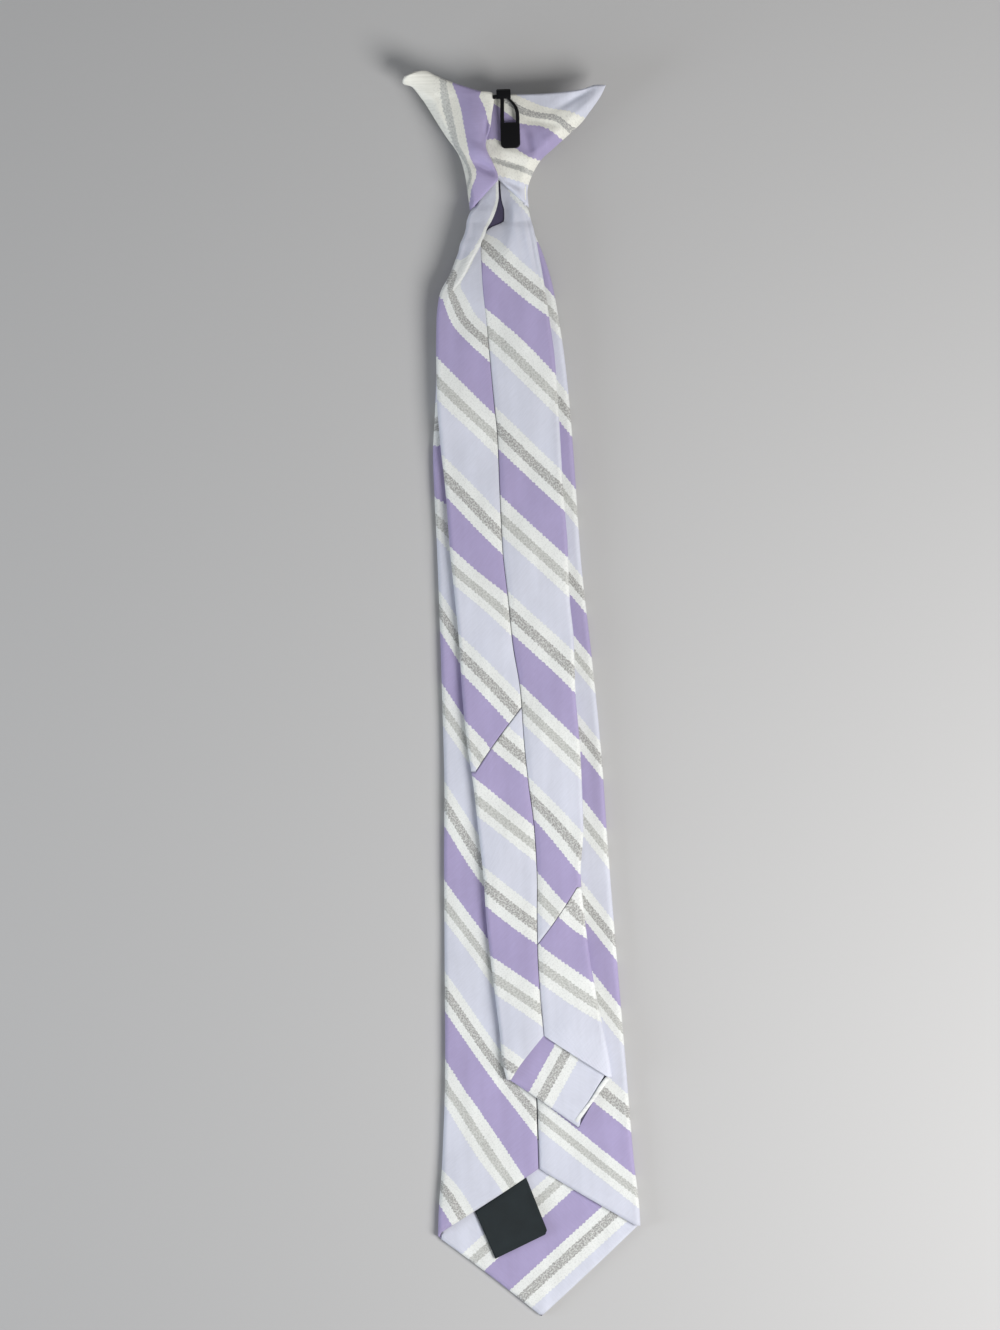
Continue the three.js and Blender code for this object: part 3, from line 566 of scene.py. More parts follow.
class NodeSheet:
    """Short ways to add and join a material's nodes."""

    def __init__(self, name):
        self.material = bpy.data.materials.new(name)
        self.material.use_nodes = True
        self.tree = self.material.node_tree
        self.tree.nodes.clear()

    def node(self, kind):
        return self.tree.nodes.new("ShaderNode" + kind)

    def feed(self, socket, value):
        """Set a socket to a number or a colour, or join it to another node's socket."""
        if isinstance(value, (int, float)):
            socket.default_value = value
        elif isinstance(value, (tuple, list)):
            socket.default_value = (*value[:3], 1)
        else:
            self.tree.links.new(value, socket)

    def weave(self):
        """The piece's weave map."""
        node = self.node("UVMap")
        node.uv_map = "weave"
        return node.outputs[0]

    def spot(self):
        """The place on the object."""
        return self.node("TexCoord").outputs["Object"]

    def split(self, vector):
        """The first two parts of a place."""
        node = self.node("SeparateXYZ")
        self.feed(node.inputs[0], vector)
        return node.outputs[0], node.outputs[1]

    def combine(self, x, y, z=0.0):
        node = self.node("CombineXYZ")
        for socket, value in zip(node.inputs, (x, y, z)):
            self.feed(socket, value)
        return node.outputs[0]

    def math(self, operation, first, second=None):
        node = self.node("Math")
        node.operation = operation
        self.feed(node.inputs[0], first)
        if second is not None:
            self.feed(node.inputs[1], second)
        return node.outputs[0]

    def plus(self, first, second):
        return self.math("ADD", first, second)

    def times(self, first, second):
        return self.math("MULTIPLY", first, second)

    def centred(self, noise, strength):
        """A noise moved to lie about 0, at a strength."""
        return self.times(self.math("SUBTRACT", noise, 0.5), strength)

    def wave(self, distance, length):
        """A sine wave of a given length."""
        return self.math("SINE", self.times(distance, 2 * math.pi / length))

    def mix(self, factor, first, second, blend="MIX"):
        node = self.node("Mix")
        node.data_type = "RGBA"
        node.blend_type = blend
        for socket, value in ((node.inputs[0], factor), (node.inputs[6], first), (node.inputs[7], second)):
            self.feed(socket, value)
        return node.outputs[2]

    def shaded(self, colour, tone):
        """A colour made lighter or darker by a tone."""
        return self.mix(1.0, colour, self.combine(tone, tone, tone), "MULTIPLY")

    def noise(self, vector, scale, detail=2.0, roughness=0.5):
        node = self.node("TexNoise")
        self.feed(node.inputs["Vector"], vector)
        self.feed(node.inputs["Scale"], scale)
        self.feed(node.inputs["Detail"], detail)
        self.feed(node.inputs["Roughness"], roughness)
        return node.outputs["Fac"]

    def ramp(self, factor, stops, interpolation="LINEAR"):
        node = self.node("ValToRGB")
        node.color_ramp.interpolation = interpolation
        elements = node.color_ramp.elements
        while len(elements) > 1:
            elements.remove(elements[-1])
        elements[0].position = stops[0][0]
        elements[0].color = (*stops[0][1][:3], 1)
        for position, colour in stops[1:]:
            element = elements.new(position)
            element.color = (*colour[:3], 1)
        self.feed(node.inputs[0], factor)
        return node.outputs[0]

    def finish(self, colour, roughness, height, distance, **values):
        """The surface with its colour, roughness and fine relief."""
        bump = self.node("Bump")
        self.feed(bump.inputs["Distance"], distance)
        self.feed(bump.inputs["Height"], height)
        shader = self.node("BsdfPrincipled")
        self.feed(shader.inputs["Base Color"], colour)
        self.feed(shader.inputs["Roughness"], roughness)
        self.feed(shader.inputs["Normal"], bump.outputs[0])
        for key, value in values.items():
            self.feed(shader.inputs[key.replace("_", " ")], value)
        output = self.node("OutputMaterial")
        self.feed(output.inputs["Surface"], shader.outputs[0])
        return self.material


def striped_cloth(name):
    """Satin cloth with woven stripes, its borders stepped by the threads and its grey stripes mottled."""
    return woven_stripes(name, bpy.context.scene.tie_colours.white)


def knot_cloth(name):
    """The same cloth, its white stripes tinted warmer: painted light, for the warmer light on the knot."""
    return woven_stripes(name, bpy.context.scene.tie_colours.knot_white_warm_light)


def woven_stripes(name, white):
    """Satin cloth with woven stripes in the palette's colours and a given white."""
    sizes = bpy.context.scene.tie_sizes
    colours = bpy.context.scene.tie_colours
    sheet = NodeSheet(name)
    across, along = sheet.split(sheet.weave())
    cloth = sheet.combine(across, along)

    # the borders are stepped by the threads and wander a little
    step = sizes.thread_step
    tooth = sheet.math("SNAP", sheet.math("PINGPONG", along, step), step / 2)
    wander = sheet.centred(sheet.noise(cloth, 900, 1.0), step * 0.9)
    shift = sheet.plus(sheet.times(tooth, 0.55), wander)
    place = sheet.math("FRACT", sheet.math("DIVIDE", sheet.plus(across, shift), sizes.stripe_repeat))

    none, some, full = (0, 0, 0), (0.55, 0.55, 0.55), (1, 1, 1)
    base = sheet.ramp(place, [(PURPLE, colours.purple), (WHITE_BELOW_PURPLE, white),
                              (PALE_GREY, colours.pale_grey), (WHITE_ABOVE_LAVENDER, white),
                              (LAVENDER, colours.lavender), (WHITE_BELOW_LAVENDER, white),
                              (GREY, colours.grey), (WHITE_ABOVE_PURPLE, white)], "CONSTANT")
    in_grey = sheet.ramp(place, [(PURPLE, none), (PALE_GREY, some), (WHITE_ABOVE_LAVENDER, none),
                                 (GREY, full), (WHITE_ABOVE_PURPLE, none)], "CONSTANT")
    in_white = sheet.ramp(place, [(PURPLE, none), (WHITE_BELOW_PURPLE, full), (LAVENDER, none),
                                  (WHITE_BELOW_LAVENDER, full)], "CONSTANT")

    # light and dark flecks mottle the grey stripes
    fleck = sheet.noise(sheet.combine(sheet.times(across, 1.2), along), 1350, 1.0)
    light_fleck = sheet.ramp(fleck, [(0.5, none), (0.6, full)])
    dark_fleck = sheet.ramp(fleck, [(0.38, full), (0.48, none)])
    light_in_grey = sheet.times(in_grey, light_fleck)
    dark_in_grey = sheet.times(in_grey, dark_fleck)
    base = sheet.mix(sheet.times(light_in_grey, 0.5), base, tuple(white))
    base = sheet.mix(sheet.times(dark_in_grey, 0.32), base, (0.18, 0.18, 0.18))

    # the cloth is a little lighter and darker in clouds and from thread to thread, and in streaks along the
    # tie that are painted sheen
    slub_place = sheet.combine(sheet.times(across, 0.25), sheet.times(along, 2.2))
    slub = sheet.centred(sheet.noise(slub_place, 700, 2.0, 0.6), 0.14)
    spot_x, spot_y = sheet.split(sheet.spot())
    # painted sheen: soft bands along the tie, lighter and darker, for the satin's sheen; cloudy holds the
    # random clouds and these painted sheen streaks
    painted_sheen_streaks = sheet.noise(sheet.combine(spot_x, sheet.times(spot_y, 0.09)), 170)
    cloudy = sheet.plus(sheet.noise(cloth, 55, 3.0), sheet.centred(painted_sheen_streaks, 1.0))
    tone = sheet.plus(sheet.centred(cloudy, 0.2), slub)
    tone = sheet.plus(tone, sheet.times(sheet.times(in_white, dark_fleck), -0.1))
    base = sheet.shaded(base, sheet.plus(tone, 1.0))

    thread = sheet.wave(sheet.plus(across, along), CLOTH_THREAD)
    rib = sheet.wave(sheet.math("SUBTRACT", across, along), CLOTH_RIB)
    grain = sheet.plus(sheet.times(thread, 0.5), sheet.times(rib, 0.5))
    height = sheet.plus(sheet.plus(grain, sheet.times(in_white, 0.8)), sheet.times(light_in_grey, 0.9))
    roughness = sheet.plus(sheet.times(in_white, 0.12), sizes.satin_roughness)
    return sheet.finish(base, roughness, height, RELIEF, Sheen_Weight=0.25, Sheen_Roughness=0.4,
                        Specular_IOR_Level=0.4)


def reverse_with_painted_shade(name):
    """The cloth's dull reverse, dark in the folds: its dark colour is painted shade for the deep gaps and
    folds where the turned-in faces show.
    """
    sheet = NodeSheet(name)
    cloth = sheet.weave()
    threads = sheet.noise(cloth, 1400, 2.0, 0.6)
    tone = sheet.plus(sheet.times(threads, 0.5), sheet.plus(sheet.noise(cloth, 90), 0.25))
    base = sheet.shaded(tuple(bpy.context.scene.tie_colours.reverse), tone)
    return sheet.finish(base, 0.75, threads, RELIEF, Sheen_Weight=0.1)


def label_tape(name):
    """Woven black tape with a fine rib."""
    sheet = NodeSheet(name)
    tape = sheet.weave()
    across, along = sheet.split(tape)
    grain = sheet.times(sheet.wave(along, TAPE_RIB), sheet.wave(across, TAPE_THREAD))
    tone = sheet.plus(sheet.times(grain, 0.15), sheet.plus(sheet.noise(tape, 120, 3.0), 0.5))
    base = sheet.shaded(tuple(bpy.context.scene.tie_colours.label), tone)
    return sheet.finish(base, 0.6, grain, RELIEF, Sheen_Weight=0.05, Specular_IOR_Level=0.25)


def clip_black(name):
    """Gloss black coating over sheet metal, a little uneven."""
    sheet = NodeSheet(name)
    cloudy = sheet.noise(sheet.spot(), 900, 3.0)
    coating = tuple(bpy.context.scene.tie_colours.clip)
    base = sheet.mix(sheet.times(cloudy, 0.5), coating, (0.004, 0.004, 0.005))
    roughness = sheet.plus(sheet.times(cloudy, 0.1), 0.25)
    return sheet.finish(base, roughness, cloudy, 0.000003, Specular_IOR_Level=0.22)


def floor_paper(name):
    """Plain pale studio paper."""
    sheet = NodeSheet(name)
    grain = sheet.noise(sheet.spot(), 400, 4.0)
    tint = tuple(bpy.context.scene.tie_stage.floor_colour)
    base = sheet.mix(sheet.times(grain, 0.06), tint, tuple(0.9 * value for value in tint))
    return sheet.finish(base, 0.85, grain, 0.00002)


class TieSizes(bpy.types.PropertyGroup):
    """Sizes of the cloth"""

    cloth: FloatProperty(name="Cloth wall", description="Thickness of one layer of cloth", default=0.001,
                         min=0.0005, max=0.002, unit="LENGTH")
    stripe_repeat: FloatProperty(name="Stripe repeat", description="Width of one run of stripes",
                                 default=0.053, min=0.01, max=0.2, unit="LENGTH")
    thread_step: FloatProperty(name="Thread step", description="Step of the woven borders of the stripes",
                               default=0.0009, min=0.0001, max=0.005, unit="LENGTH")
    satin_roughness: FloatProperty(name="Satin roughness", description="Roughness of the satin areas",
                                   default=0.42, min=0.1, max=1.0)
    rows: IntProperty(name="Rows", description="Rows of faces along the blade", default=260, min=60, max=500)


class TieColours(bpy.types.PropertyGroup):
    """Colours of the cloth, the label and the clip"""

    purple: FloatVectorProperty(name="Purple", description="Wide dark stripe", subtype="COLOR",
                                default=(0.38, 0.33, 0.545), min=0, max=1)
    lavender: FloatVectorProperty(name="Lavender", description="Wide pale stripe", subtype="COLOR",
                                  default=(0.62, 0.64, 0.74), min=0, max=1)
    white: FloatVectorProperty(name="White", description="Stripes beside the grey ones", subtype="COLOR",
                               default=(0.78, 0.80, 0.79), min=0, max=1)
    # painted light: the knot's whites are tinted warmer for the warmer light on the knot
    knot_white_warm_light: FloatVectorProperty(name="Knot_white_warm_light", description="The same stripes on the knot", subtype="COLOR",
                               default=(0.80, 0.80, 0.74), min=0, max=1)
    grey: FloatVectorProperty(name="Grey", description="Mottled stripes above the purple ones",
                              subtype="COLOR", default=(0.43, 0.43, 0.42), min=0, max=1)
    pale_grey: FloatVectorProperty(name="Pale grey", description="Mottled stripes below the purple ones",
                                   subtype="COLOR", default=(0.53, 0.54, 0.52), min=0, max=1)
    # painted shade: the reverse's dark colour stands in for the shade in the deep gaps where the turned-in
    # faces show
    reverse: FloatVectorProperty(name="Reverse", description="Dull reverse of the cloth", subtype="COLOR",
                                 default=(0.05, 0.042, 0.09), min=0, max=1)
    label: FloatVectorProperty(name="Label", description="Woven label", subtype="COLOR",
                               default=(0.008, 0.014, 0.017), min=0, max=1)
    clip: FloatVectorProperty(name="Clip", description="Coating of the clip", subtype="COLOR",
                              default=(0.003, 0.003, 0.004), min=0, max=1)


class TieStage(bpy.types.PropertyGroup):
    """The floor, the light and the camera"""

    camera_height: FloatProperty(name="Camera height", description="Height of the camera above the floor",
                                 default=EYE_HEIGHT * MM, min=0.3, max=5, unit="LENGTH")
    view_height: FloatProperty(name="View height", description="Length that the picture's height takes in",
                               default=0.5413, min=0.1, max=3, unit="LENGTH")
    key_power: FloatProperty(name="Key light", description="Power of the soft light from the upper right",
                             default=7.7, min=0, max=1000, unit="POWER")
    side_power: FloatProperty(name="Side light", default=7.0, min=0, max=1000, unit="POWER",
                              description="Power of the cool soft light from the lower left")
    fill: FloatProperty(name="Fill", description="Strength of the light from all around",
                        default=0.28, min=0, max=5)
    floor_colour: FloatVectorProperty(name="Floor", description="Colour of the floor", subtype="COLOR",
                                      default=(0.47, 0.47, 0.475), min=0, max=1)


STRIPES = "striped_satin"
# the knot's copy of the cloth differs only by its whites, tinted warmer as painted light
KNOT_STRIPES = "knot_satin"
# the material of the turned-in faces: the cloth's reverse, dark with painted shade
REVERSE_WITH_SHADE = "satin_reverse"


class TIE_OT_blade(bpy.types.Operator):
    """Fold the wide blade and lay the facing into its point"""

    bl_idname = "tie.build_blade"
    bl_label = "Blade"

    def execute(self, context):
        sizes = context.scene.tie_sizes
        cloth = sizes.cloth / MM
        satin = Palette.get(STRIPES, striped_cloth)
        steps = {"right flap": 34, "right fold": 9, "front": 40, "left fold": 9, "left flap": 34}
        parts, shares = folded_columns(BLADE_POINT_SHARE, steps)
        lower = pointed_edge(parts, shares, BLADE_POINT_SHARE, 0, BLADE_CORNER, BLADE_FLAP_RISE, 3.0)
        sides, part, share, y = folded_cloth(parts, shares, lower, np.full_like(lower, NECK), sizes.rows,
                                             1.25, blade_section, BLADE_THICKNESS, cloth)
        x = sides[0][..., 0]
        repeats = flap_repeats(part, share, x, y, blade_section, BLADE_STRIPES)
        # beside the tail the stripes fall more steeply, where the flap turns down to its fold
        from_fold = blade_section(y)["right"] - x
        from_fold = np.where((part == 1) & (share > 0.5), -from_fold, from_fold)
        steep = between(0.9, 1.45, eased(85, 125, y))
        turn = 13
        fall = steep * np.minimum(from_fold, turn) + 0.9 * np.maximum(from_fold - turn, 0)
        repeats = np.where(part <= 1, smooth_at(BLADE_RIGHT_FOLD, y - fall), repeats)
        weave = stripe_map(repeats, cloth_along(part, share, y, blade_section))
        blade = cloth_piece("blade_cloth", sides, weave, satin, "blade",
                            Palette.get(REVERSE_WITH_SHADE, reverse_with_painted_shade))
        facing = build_facing("blade_facing", "blade_tipping", blade_section, BLADE_POINT_SHARE,
                              BLADE_THICKNESS, 0, BLADE_CORNER, (0.65, -0.76, 16.5, 50), -0.15, -0.15, 3.0)
        return {"FINISHED"}


def build_facing(name, node, section, point_share, thickness, tip, point, stripes, left_inset, right_inset,
                 pushed):
    """A cloth facing inside a pointed end. stripes gives the stripes' normal, its offset and their repeat,
    counted the other way round from the front's."""
    columns, rows, depth = 60, 50, 36
    across = np.linspace(0, 1, columns)
    share = np.where(across < 0.5, 2 * across * point_share, between(point_share, 1, 2 * across - 1))
    parts = np.full(columns, 2)
    inset = between(right_inset, left_inset, eased(point_share - 0.05, point_share + 0.01, share))
    lower = pointed_edge(parts, share, point_share, tip, point, 0, pushed) + inset
    y = between(lower[None, :], tip + point + depth, np.linspace(0, 1, rows)[:, None])
    s = section(y)
    margin = thickness / 2 - 0.5
    x = between(s["right"] - margin, s["left"] + margin, share[None, :])
    edge = y - lower[None, :]
    z = s["base"] + 1.32 + 0.25 * (1 - np.exp(-((edge / 3) ** 2))) * (1 + lie(3 * x, 2 * y)) * 0.5
    soft = np.sqrt(np.clip(edge / 0.6, 0.05, 1))
    sides = np.stack([x, y, z + 0.75 * soft], -1), np.stack([x, y, z], -1)
    nx, ny, offset, repeat = stripes
    weave = stripe_map(-(nx * x + ny * y + offset) / repeat, -ny * x + nx * y)
    return cloth_piece(name, sides, weave, Palette.get(STRIPES, striped_cloth), node)


class TIE_OT_label(bpy.types.Operator):
    """Lay the blank label below the left flap"""

    bl_idname = "tie.build_label"
    bl_label = "Label"

    def execute(self, context):
        corners = np.array([(-4.6, 56.8), (-25.8, 43.3), (-18.0, 23.8), (3.8, 33.6)])
        top_right, top_left, low_left, low_right = corners
        steps = 28
        u = np.linspace(0, 1, steps)[None, :]
        v = np.linspace(0, 1, steps)[:, None]
        # the lower right corner is rounded
        round_u = 1 - 0.03 * np.clip((u - 0.93) / 0.07, 0, 1) ** 2 * np.clip((v - 0.93) / 0.07, 0, 1) ** 2
        top = between(top_left[:, None, None], top_right[:, None, None], u[None])
        low = between(low_left[:, None, None], low_right[:, None, None], (u * round_u)[None])
        x, y = between(top, low, v[None] * round_u[None])
        curl = 0.5 * v ** 2 * (0.4 + 0.6 * u) + 0.15 * np.sin(math.pi * u) * v
        z = 2.62 + curl
        thickness = 0.55
        sides = np.stack([x, y, z + thickness], -1), np.stack([x, y, z], -1)
        weave = np.stack([x, y], -1).reshape(-1, 2) * MM
        label = cloth_piece("label_tape", sides, weave, Palette.get("black_tape", label_tape),
                            "label")
        return {"FINISHED"}


class TIE_OT_tail(bpy.types.Operator):
    """Fold the narrow tail in its two joined lengths and lay the facing into its end"""

    bl_idname = "tie.build_tail"
    bl_label = "Tail"

    def execute(self, context):
        sizes = context.scene.tie_sizes
        cloth = sizes.cloth / MM
        satin = Palette.get(STRIPES, striped_cloth)
        reverse = Palette.get(REVERSE_WITH_SHADE, reverse_with_painted_shade)
        steps = {"right flap": 36, "right fold": 9, "front": 20, "left fold": 9, "left flap": 40}
        parts, shares = folded_columns(TAIL_POINT_SHARE, steps)
        join = join_edge(parts, shares)
        join_gap = 0.35
        sides, part, share, y = folded_cloth(parts, shares, join + join_gap, np.full_like(join, NECK),
                                             sizes.rows, 1.7, tail_section, TAIL_THICKNESS, cloth)
        x = sides[0][..., 0]
        repeats = flap_repeats(part, share, x, y, tail_section, TAIL_STRIPES)
        # below the knot the left flap is counted along its roll, and the fold from there to the front's end
        turned = eased(398, 410, y)
        shift = TAIL_STRIPES["front_shift"]
        front_end = flap_repeats(np.full_like(part, 2), np.ones_like(y), x, y, tail_section, TAIL_STRIPES)
        round_fold = between(front_end, smooth_at(TAIL_LEFT_FOLD, y) + shift, share)
        repeats = np.where(part == 4, between(repeats, roll_repeats(share, y) + shift, turned), repeats)
        repeats = np.where(part == 3, between(repeats, round_fold, turned), repeats)
        weave = stripe_map(repeats, cloth_along(part, share, y, tail_section))
        tail = cloth_piece("tail_upper_cloth", sides, weave, satin, "tail_upper", reverse)
        lower = pointed_edge(parts, shares, TAIL_POINT_SHARE, TAIL_TIP, TAIL_CORNER, TAIL_FLAP_RISE)
        sides, part, share, y = folded_cloth(parts, shares, lower, join, sizes.rows // 2, 1.0, tail_section,
                                             TAIL_THICKNESS, cloth)
        repeats = flap_repeats(part, share, sides[0][..., 0], y, tail_section, LOWER_STRIPES)
        weave = stripe_map(repeats, cloth_along(part, share, y, tail_section))
        places, faces = wall(*sides)
        hem, hem_faces = right_hem()
        hem_weave = stripe_map(-0.04 + 0 * hem[:, 0], hem[:, 1])
        turned_in = np.concatenate([inner_side(sides[0], faces), np.zeros(len(hem_faces), dtype=np.int32)])
        end = new_piece("tail_lower_cloth", np.concatenate([places, hem]),
                        np.concatenate([faces, hem_faces + len(places)]),
                        np.concatenate([weave, weave, hem_weave]), satin, "tail_lower",
                        reverse, turned_in)
        facing = build_facing("tail_facing", "tail_tipping", tail_section, TAIL_POINT_SHARE, TAIL_THICKNESS,
                              TAIL_TIP, TAIL_CORNER, (0.861, -0.508, 48.5, 50), -0.15, 2.9, 0.0)
        return {"FINISHED"}


def right_hem():
    """The hem folded up along the right side of the tail's end: a narrow closed strip from the corner to the
    point."""
    rows, columns = 40, 12
    t = np.linspace(0, 1, rows)[:, None]
    u = np.linspace(0, 1, columns)[None, :]
    x = between(30.6, 16.9, t) - 1.6 * u * (0.85 + 0.15 * np.sin(9 * t))
    y = between(95.6, 77.6, t) + 1.1 * u
    swell = soft_edge(u, 4, 0.03) * soft_edge(t, 20, 0.03)
    z = tail_section(y)["base"] + 1.1
    sides = np.stack([x, y, z + 0.15 + 1.3 * swell], -1), np.stack([x, y, z + 0 * x], -1)
    return wall(*sides)


def roll_bend(share):
    """On the roll the stripes fall steeply beside the left fold and level out towards the seam."""
    return 0.65 * share + 0.35 * (1 - (1 - share) ** 2)


def roll_repeats(share, y):
    """The stripes on the left flap's roll: white along its inner edge."""
    fold = smooth_at(TAIL_LEFT_FOLD, y)
    lip = smooth_at(TAIL_LEFT_SEAM, y)
    reach = column_at(ROLL_ROWS, "reach", y)
    plain = between(fold, lip, roll_bend(share))
    edge = between(between(fold, lip, roll_bend(reach)), -0.19, eased(416, 428, y))
    rolled = np.where(share < reach, between(fold, edge, share / reach),
                      between(edge, lip, np.clip((share - reach) / np.maximum(1 - reach, 0.02), 0, 1)))
    return between(plain, rolled, eased(407, 418, y))


def wing_rows(table, count):
    """A wing's table on smooth curves through its rows."""
    rows = len(table["ix"])
    at = np.linspace(0, rows - 1, count)
    i = np.clip(at.astype(int), 0, rows - 2)
    t = at - i
    result = {}
    for name, values in table.items():
        v = np.array(values, float)
        ends = np.concatenate([[2 * v[0] - v[1]], v, [2 * v[-1] - v[-2]]])
        p0, p1, p2, p3 = ends[i], ends[i + 1], ends[i + 2], ends[i + 3]
        result[name] = 0.5 * (2 * p1 + (p2 - p0) * t + (2 * p0 - 5 * p1 + 4 * p2 - p3) * t ** 2
                              + (3 * p1 - p0 - 3 * p2 + p3) * t ** 3)
    return result


def border_repeats(borders, station, across):
    """The repeats at each place from the stripes' borders measured at a few stations."""
    stations = sorted(key for key in borders if key != "repeats")
    table = np.array([borders[key] for key in stations])
    repeats = np.array(borders["repeats"], float)
    station = station.ravel()
    across = across.ravel()
    result = np.empty(len(station))
    for n in range(len(station)):
        line = np.array([np.interp(station[n], stations, table[:, k]) for k in range(len(repeats))])
        values = repeats
        if line[0] > line[-1]:
            line, values = line[::-1], repeats[::-1]
        at = across[n]
        if at < line[0]:
            result[n] = values[0] + (at - line[0]) * (values[1] - values[0]) / (line[1] - line[0])
        elif at > line[-1]:
            result[n] = values[-1] + (at - line[-1]) * (values[-1] - values[-2]) / (line[-1] - line[-2])
        else:
            result[n] = np.interp(at, line, values)
    return result


def wing_sides(table, bow, dents):
    """The two sides of one of the knot's back pieces: soft edges, and its outer edge turned down."""
    u = 0.5 - 0.5 * np.cos(np.pi * np.linspace(0, 1, WING_COLUMNS))
    v = np.linspace(0, 1, WING_ROWS)[:, None]
    grid = {name: values[:, None] for name, values in wing_rows(table, WING_ROWS).items()}
    x = between(grid["ix"], grid["ox"], u)
    hollow = np.sin(np.pi * u) - 0.6 * np.exp(-(((u - 0.92) / 0.07) ** 2))
    y = between(grid["iy"], grid["oy"], u) - bow * v ** 3 * hollow
    under = between(grid["iz"], grid["oz"], u) + WING_CROWN * np.sin(np.pi * u) * eased(0.02, 0.3, v)
    drop = WING_TURN * (1 - eased(0.5, 0.75, v)) * eased(0.8, 1.0, u) ** 1.5
    thickness = WING_THICKNESS * soft_edge(u, 14, 0.02) * soft_edge(v, 40, 0.03)
    top = under + thickness + dents(x, y) * eased(0, 0.08, v)
    outer = np.stack([x, y, top - drop], -1)
    inner = np.stack([x, y, under - drop], -1)
    return outer, inner


def left_dents(x, y):
    """The creases of the knot's left back piece."""
    field = -1.9 * near_line(x, y, -14.7, 471.0, -4.0, 465.0, 2.0)
    field = field + 0.9 * near_line(x, y, -15, 477.5, -7, 472, 2.2)
    field = field - 1.0 * near_line(x, y, -18.6, 473.0, -15.2, 465.5, 0.8)
    field = field - 1.3 * near_line(x, y, -8.4, 480, -7.6, 488, 1.1)
    field = field - 0.8 * near_line(x, y, -27, 497, -20.5, 478, 1.5)
    field = field + 0.7 * near_line(x, y, -15, 497, -12, 482, 3.0)
    return field


def right_dents(x, y):
    """The creases of the knot's right back piece."""
    field = -0.9 * near_line(x, y, -4, 471, 7.5, 467.5, 1.2)
    field = field + 0.6 * near_line(x, y, -3, 475, 12, 470.5, 1.7)
    field = field - 0.8 * near_line(x, y, -2.5, 463, 8, 458, 1.2)
    field = field - 1.3 * near_line(x, y, 35.5, 499.0, 20.0, 490.5, 1.5)
    field = field + 0.9 * near_line(x, y, 38.5, 497.0, 27.5, 487.5, 1.8)
    field = field - 0.7 * near_line(x, y, 8, 487, 22, 484, 1.4)
    field = field - 1.7 * near_line(x, y, 6.5, 484, 10.5, 473, 2.0)
    field = field + 0.8 * near_line(x, y, 15, 481, 20, 474, 2.6)
    return field


class TIE_OT_knot(bpy.types.Operator):
    """Fold the knot: the wrap over its front and the two back pieces with their wings"""

    bl_idname = "tie.build_knot"
    bl_label = "Knot"

    def execute(self, context):
        satin = Palette.get(KNOT_STRIPES, knot_cloth)
        left = self.wing("knot_left_wing", "knot_wing_left", wing_sides(LEFT_WING, 0, left_dents),
                         LEFT_WING_BORDERS, 1, (-0.07, 0.45), satin)
        right = self.wing("knot_right_wing", "knot_wing_right", wing_sides(RIGHT_WING, 1.7, right_dents),
                          RIGHT_WING_BORDERS, 0, (-0.5, 0.9), satin)
        front = self.wrap(satin)
        return {"FINISHED"}

    def wing(self, name, node, sides, borders, axis, limits, satin):
        """One of the back pieces, with its stripes' borders at stations along an axis."""
        station, across = sides[0][..., axis], sides[0][..., 1 - axis]
        repeats = np.clip(border_repeats(borders, station, across), *limits)
        weave = stripe_map(repeats.reshape(station.shape), station)
        return cloth_piece(name, sides, weave, satin, node)

    def wrap(self, satin):
        """The wrap over the front, convex below, its sides turned up and its top edge curled up."""
        rows, curl_rows, columns = 60, 12, 72
        r = np.arange(rows + curl_rows)[:, None]
        share = np.minimum(r / rows, 1)
        y0 = between(452.0, 493.0, share)
        left, right = column_at(WRAP_ROWS, "left", y0), column_at(WRAP_ROWS, "right", y0)
        rim, square = column_at(WRAP_ROWS, "rim", y0), column_at(WRAP_ROWS, "square", y0)
        across = np.sin(np.pi * (np.linspace(0, 1, columns)[None, :] - 0.5))
        turned = 1 - (1 - np.abs(across) ** square) ** (1 / square)
        curl = np.clip((r - rows) / (curl_rows - 1), 0, 1) * np.pi / 2
        sides = []
        for depth in (0.0, 1.0):
            reach = (4 - depth) * np.sin(curl)
            floor = between(depth, rim, 1 - np.cos(curl))
            half = (right - left) / 2 - depth
            x = (left + right) / 2 + half * across
            y = y0 + reach + 0 * across
            dimple = 1.1 * np.exp(-(((x + 3.5) / 4.0) ** 2)) * (1 - eased(452, 478, y)) * (1 - turned) ** 2
            crease = 0.35 * near_line(x, y, -22, 492, -8, 474, 2.5)
            crease = crease + 0.3 * near_line(x, y, 22, 490, 6, 470, 2.5)
            z = between(floor, rim, turned) + dimple + crease * (1 - turned) ** 2
            sides.append(np.stack([x, y, z], -1))
        x, y, z = np.moveaxis(sides[0], -1, 0)
        unfolded = x * 1.15 + 6 * np.sign(across) * turned
        repeats = (0.78 * (y + z * np.sin(curl)) - 0.62 * unfolded) / 53
        weave = stripe_map(-repeats, 0.62 * y + 0.78 * unfolded)
        return cloth_piece("knot_front_wrap", sides, weave, satin, "knot_front")


def deselect():
    """Leave edit mode and select nothing."""
    if bpy.context.mode != "OBJECT":
        bpy.ops.object.mode_set(mode="OBJECT")
    bpy.ops.object.select_all(action="DESELECT")


def add_block(name, low, high):
    """A cube primitive at its size and place, between two corners in millimetres from the tip."""
    deselect()
    low, high = np.array(low, float), np.array(high, float)
    middle = settled([(low + high) / 2])[0]
    bpy.ops.mesh.primitive_cube_add(size=1, location=tuple(middle))
    block = bpy.context.object
    block.name = name
    block.dimensions = tuple((high - low) * MM)
    bpy.ops.object.transform_apply(location=True, rotation=True, scale=True)
    return block


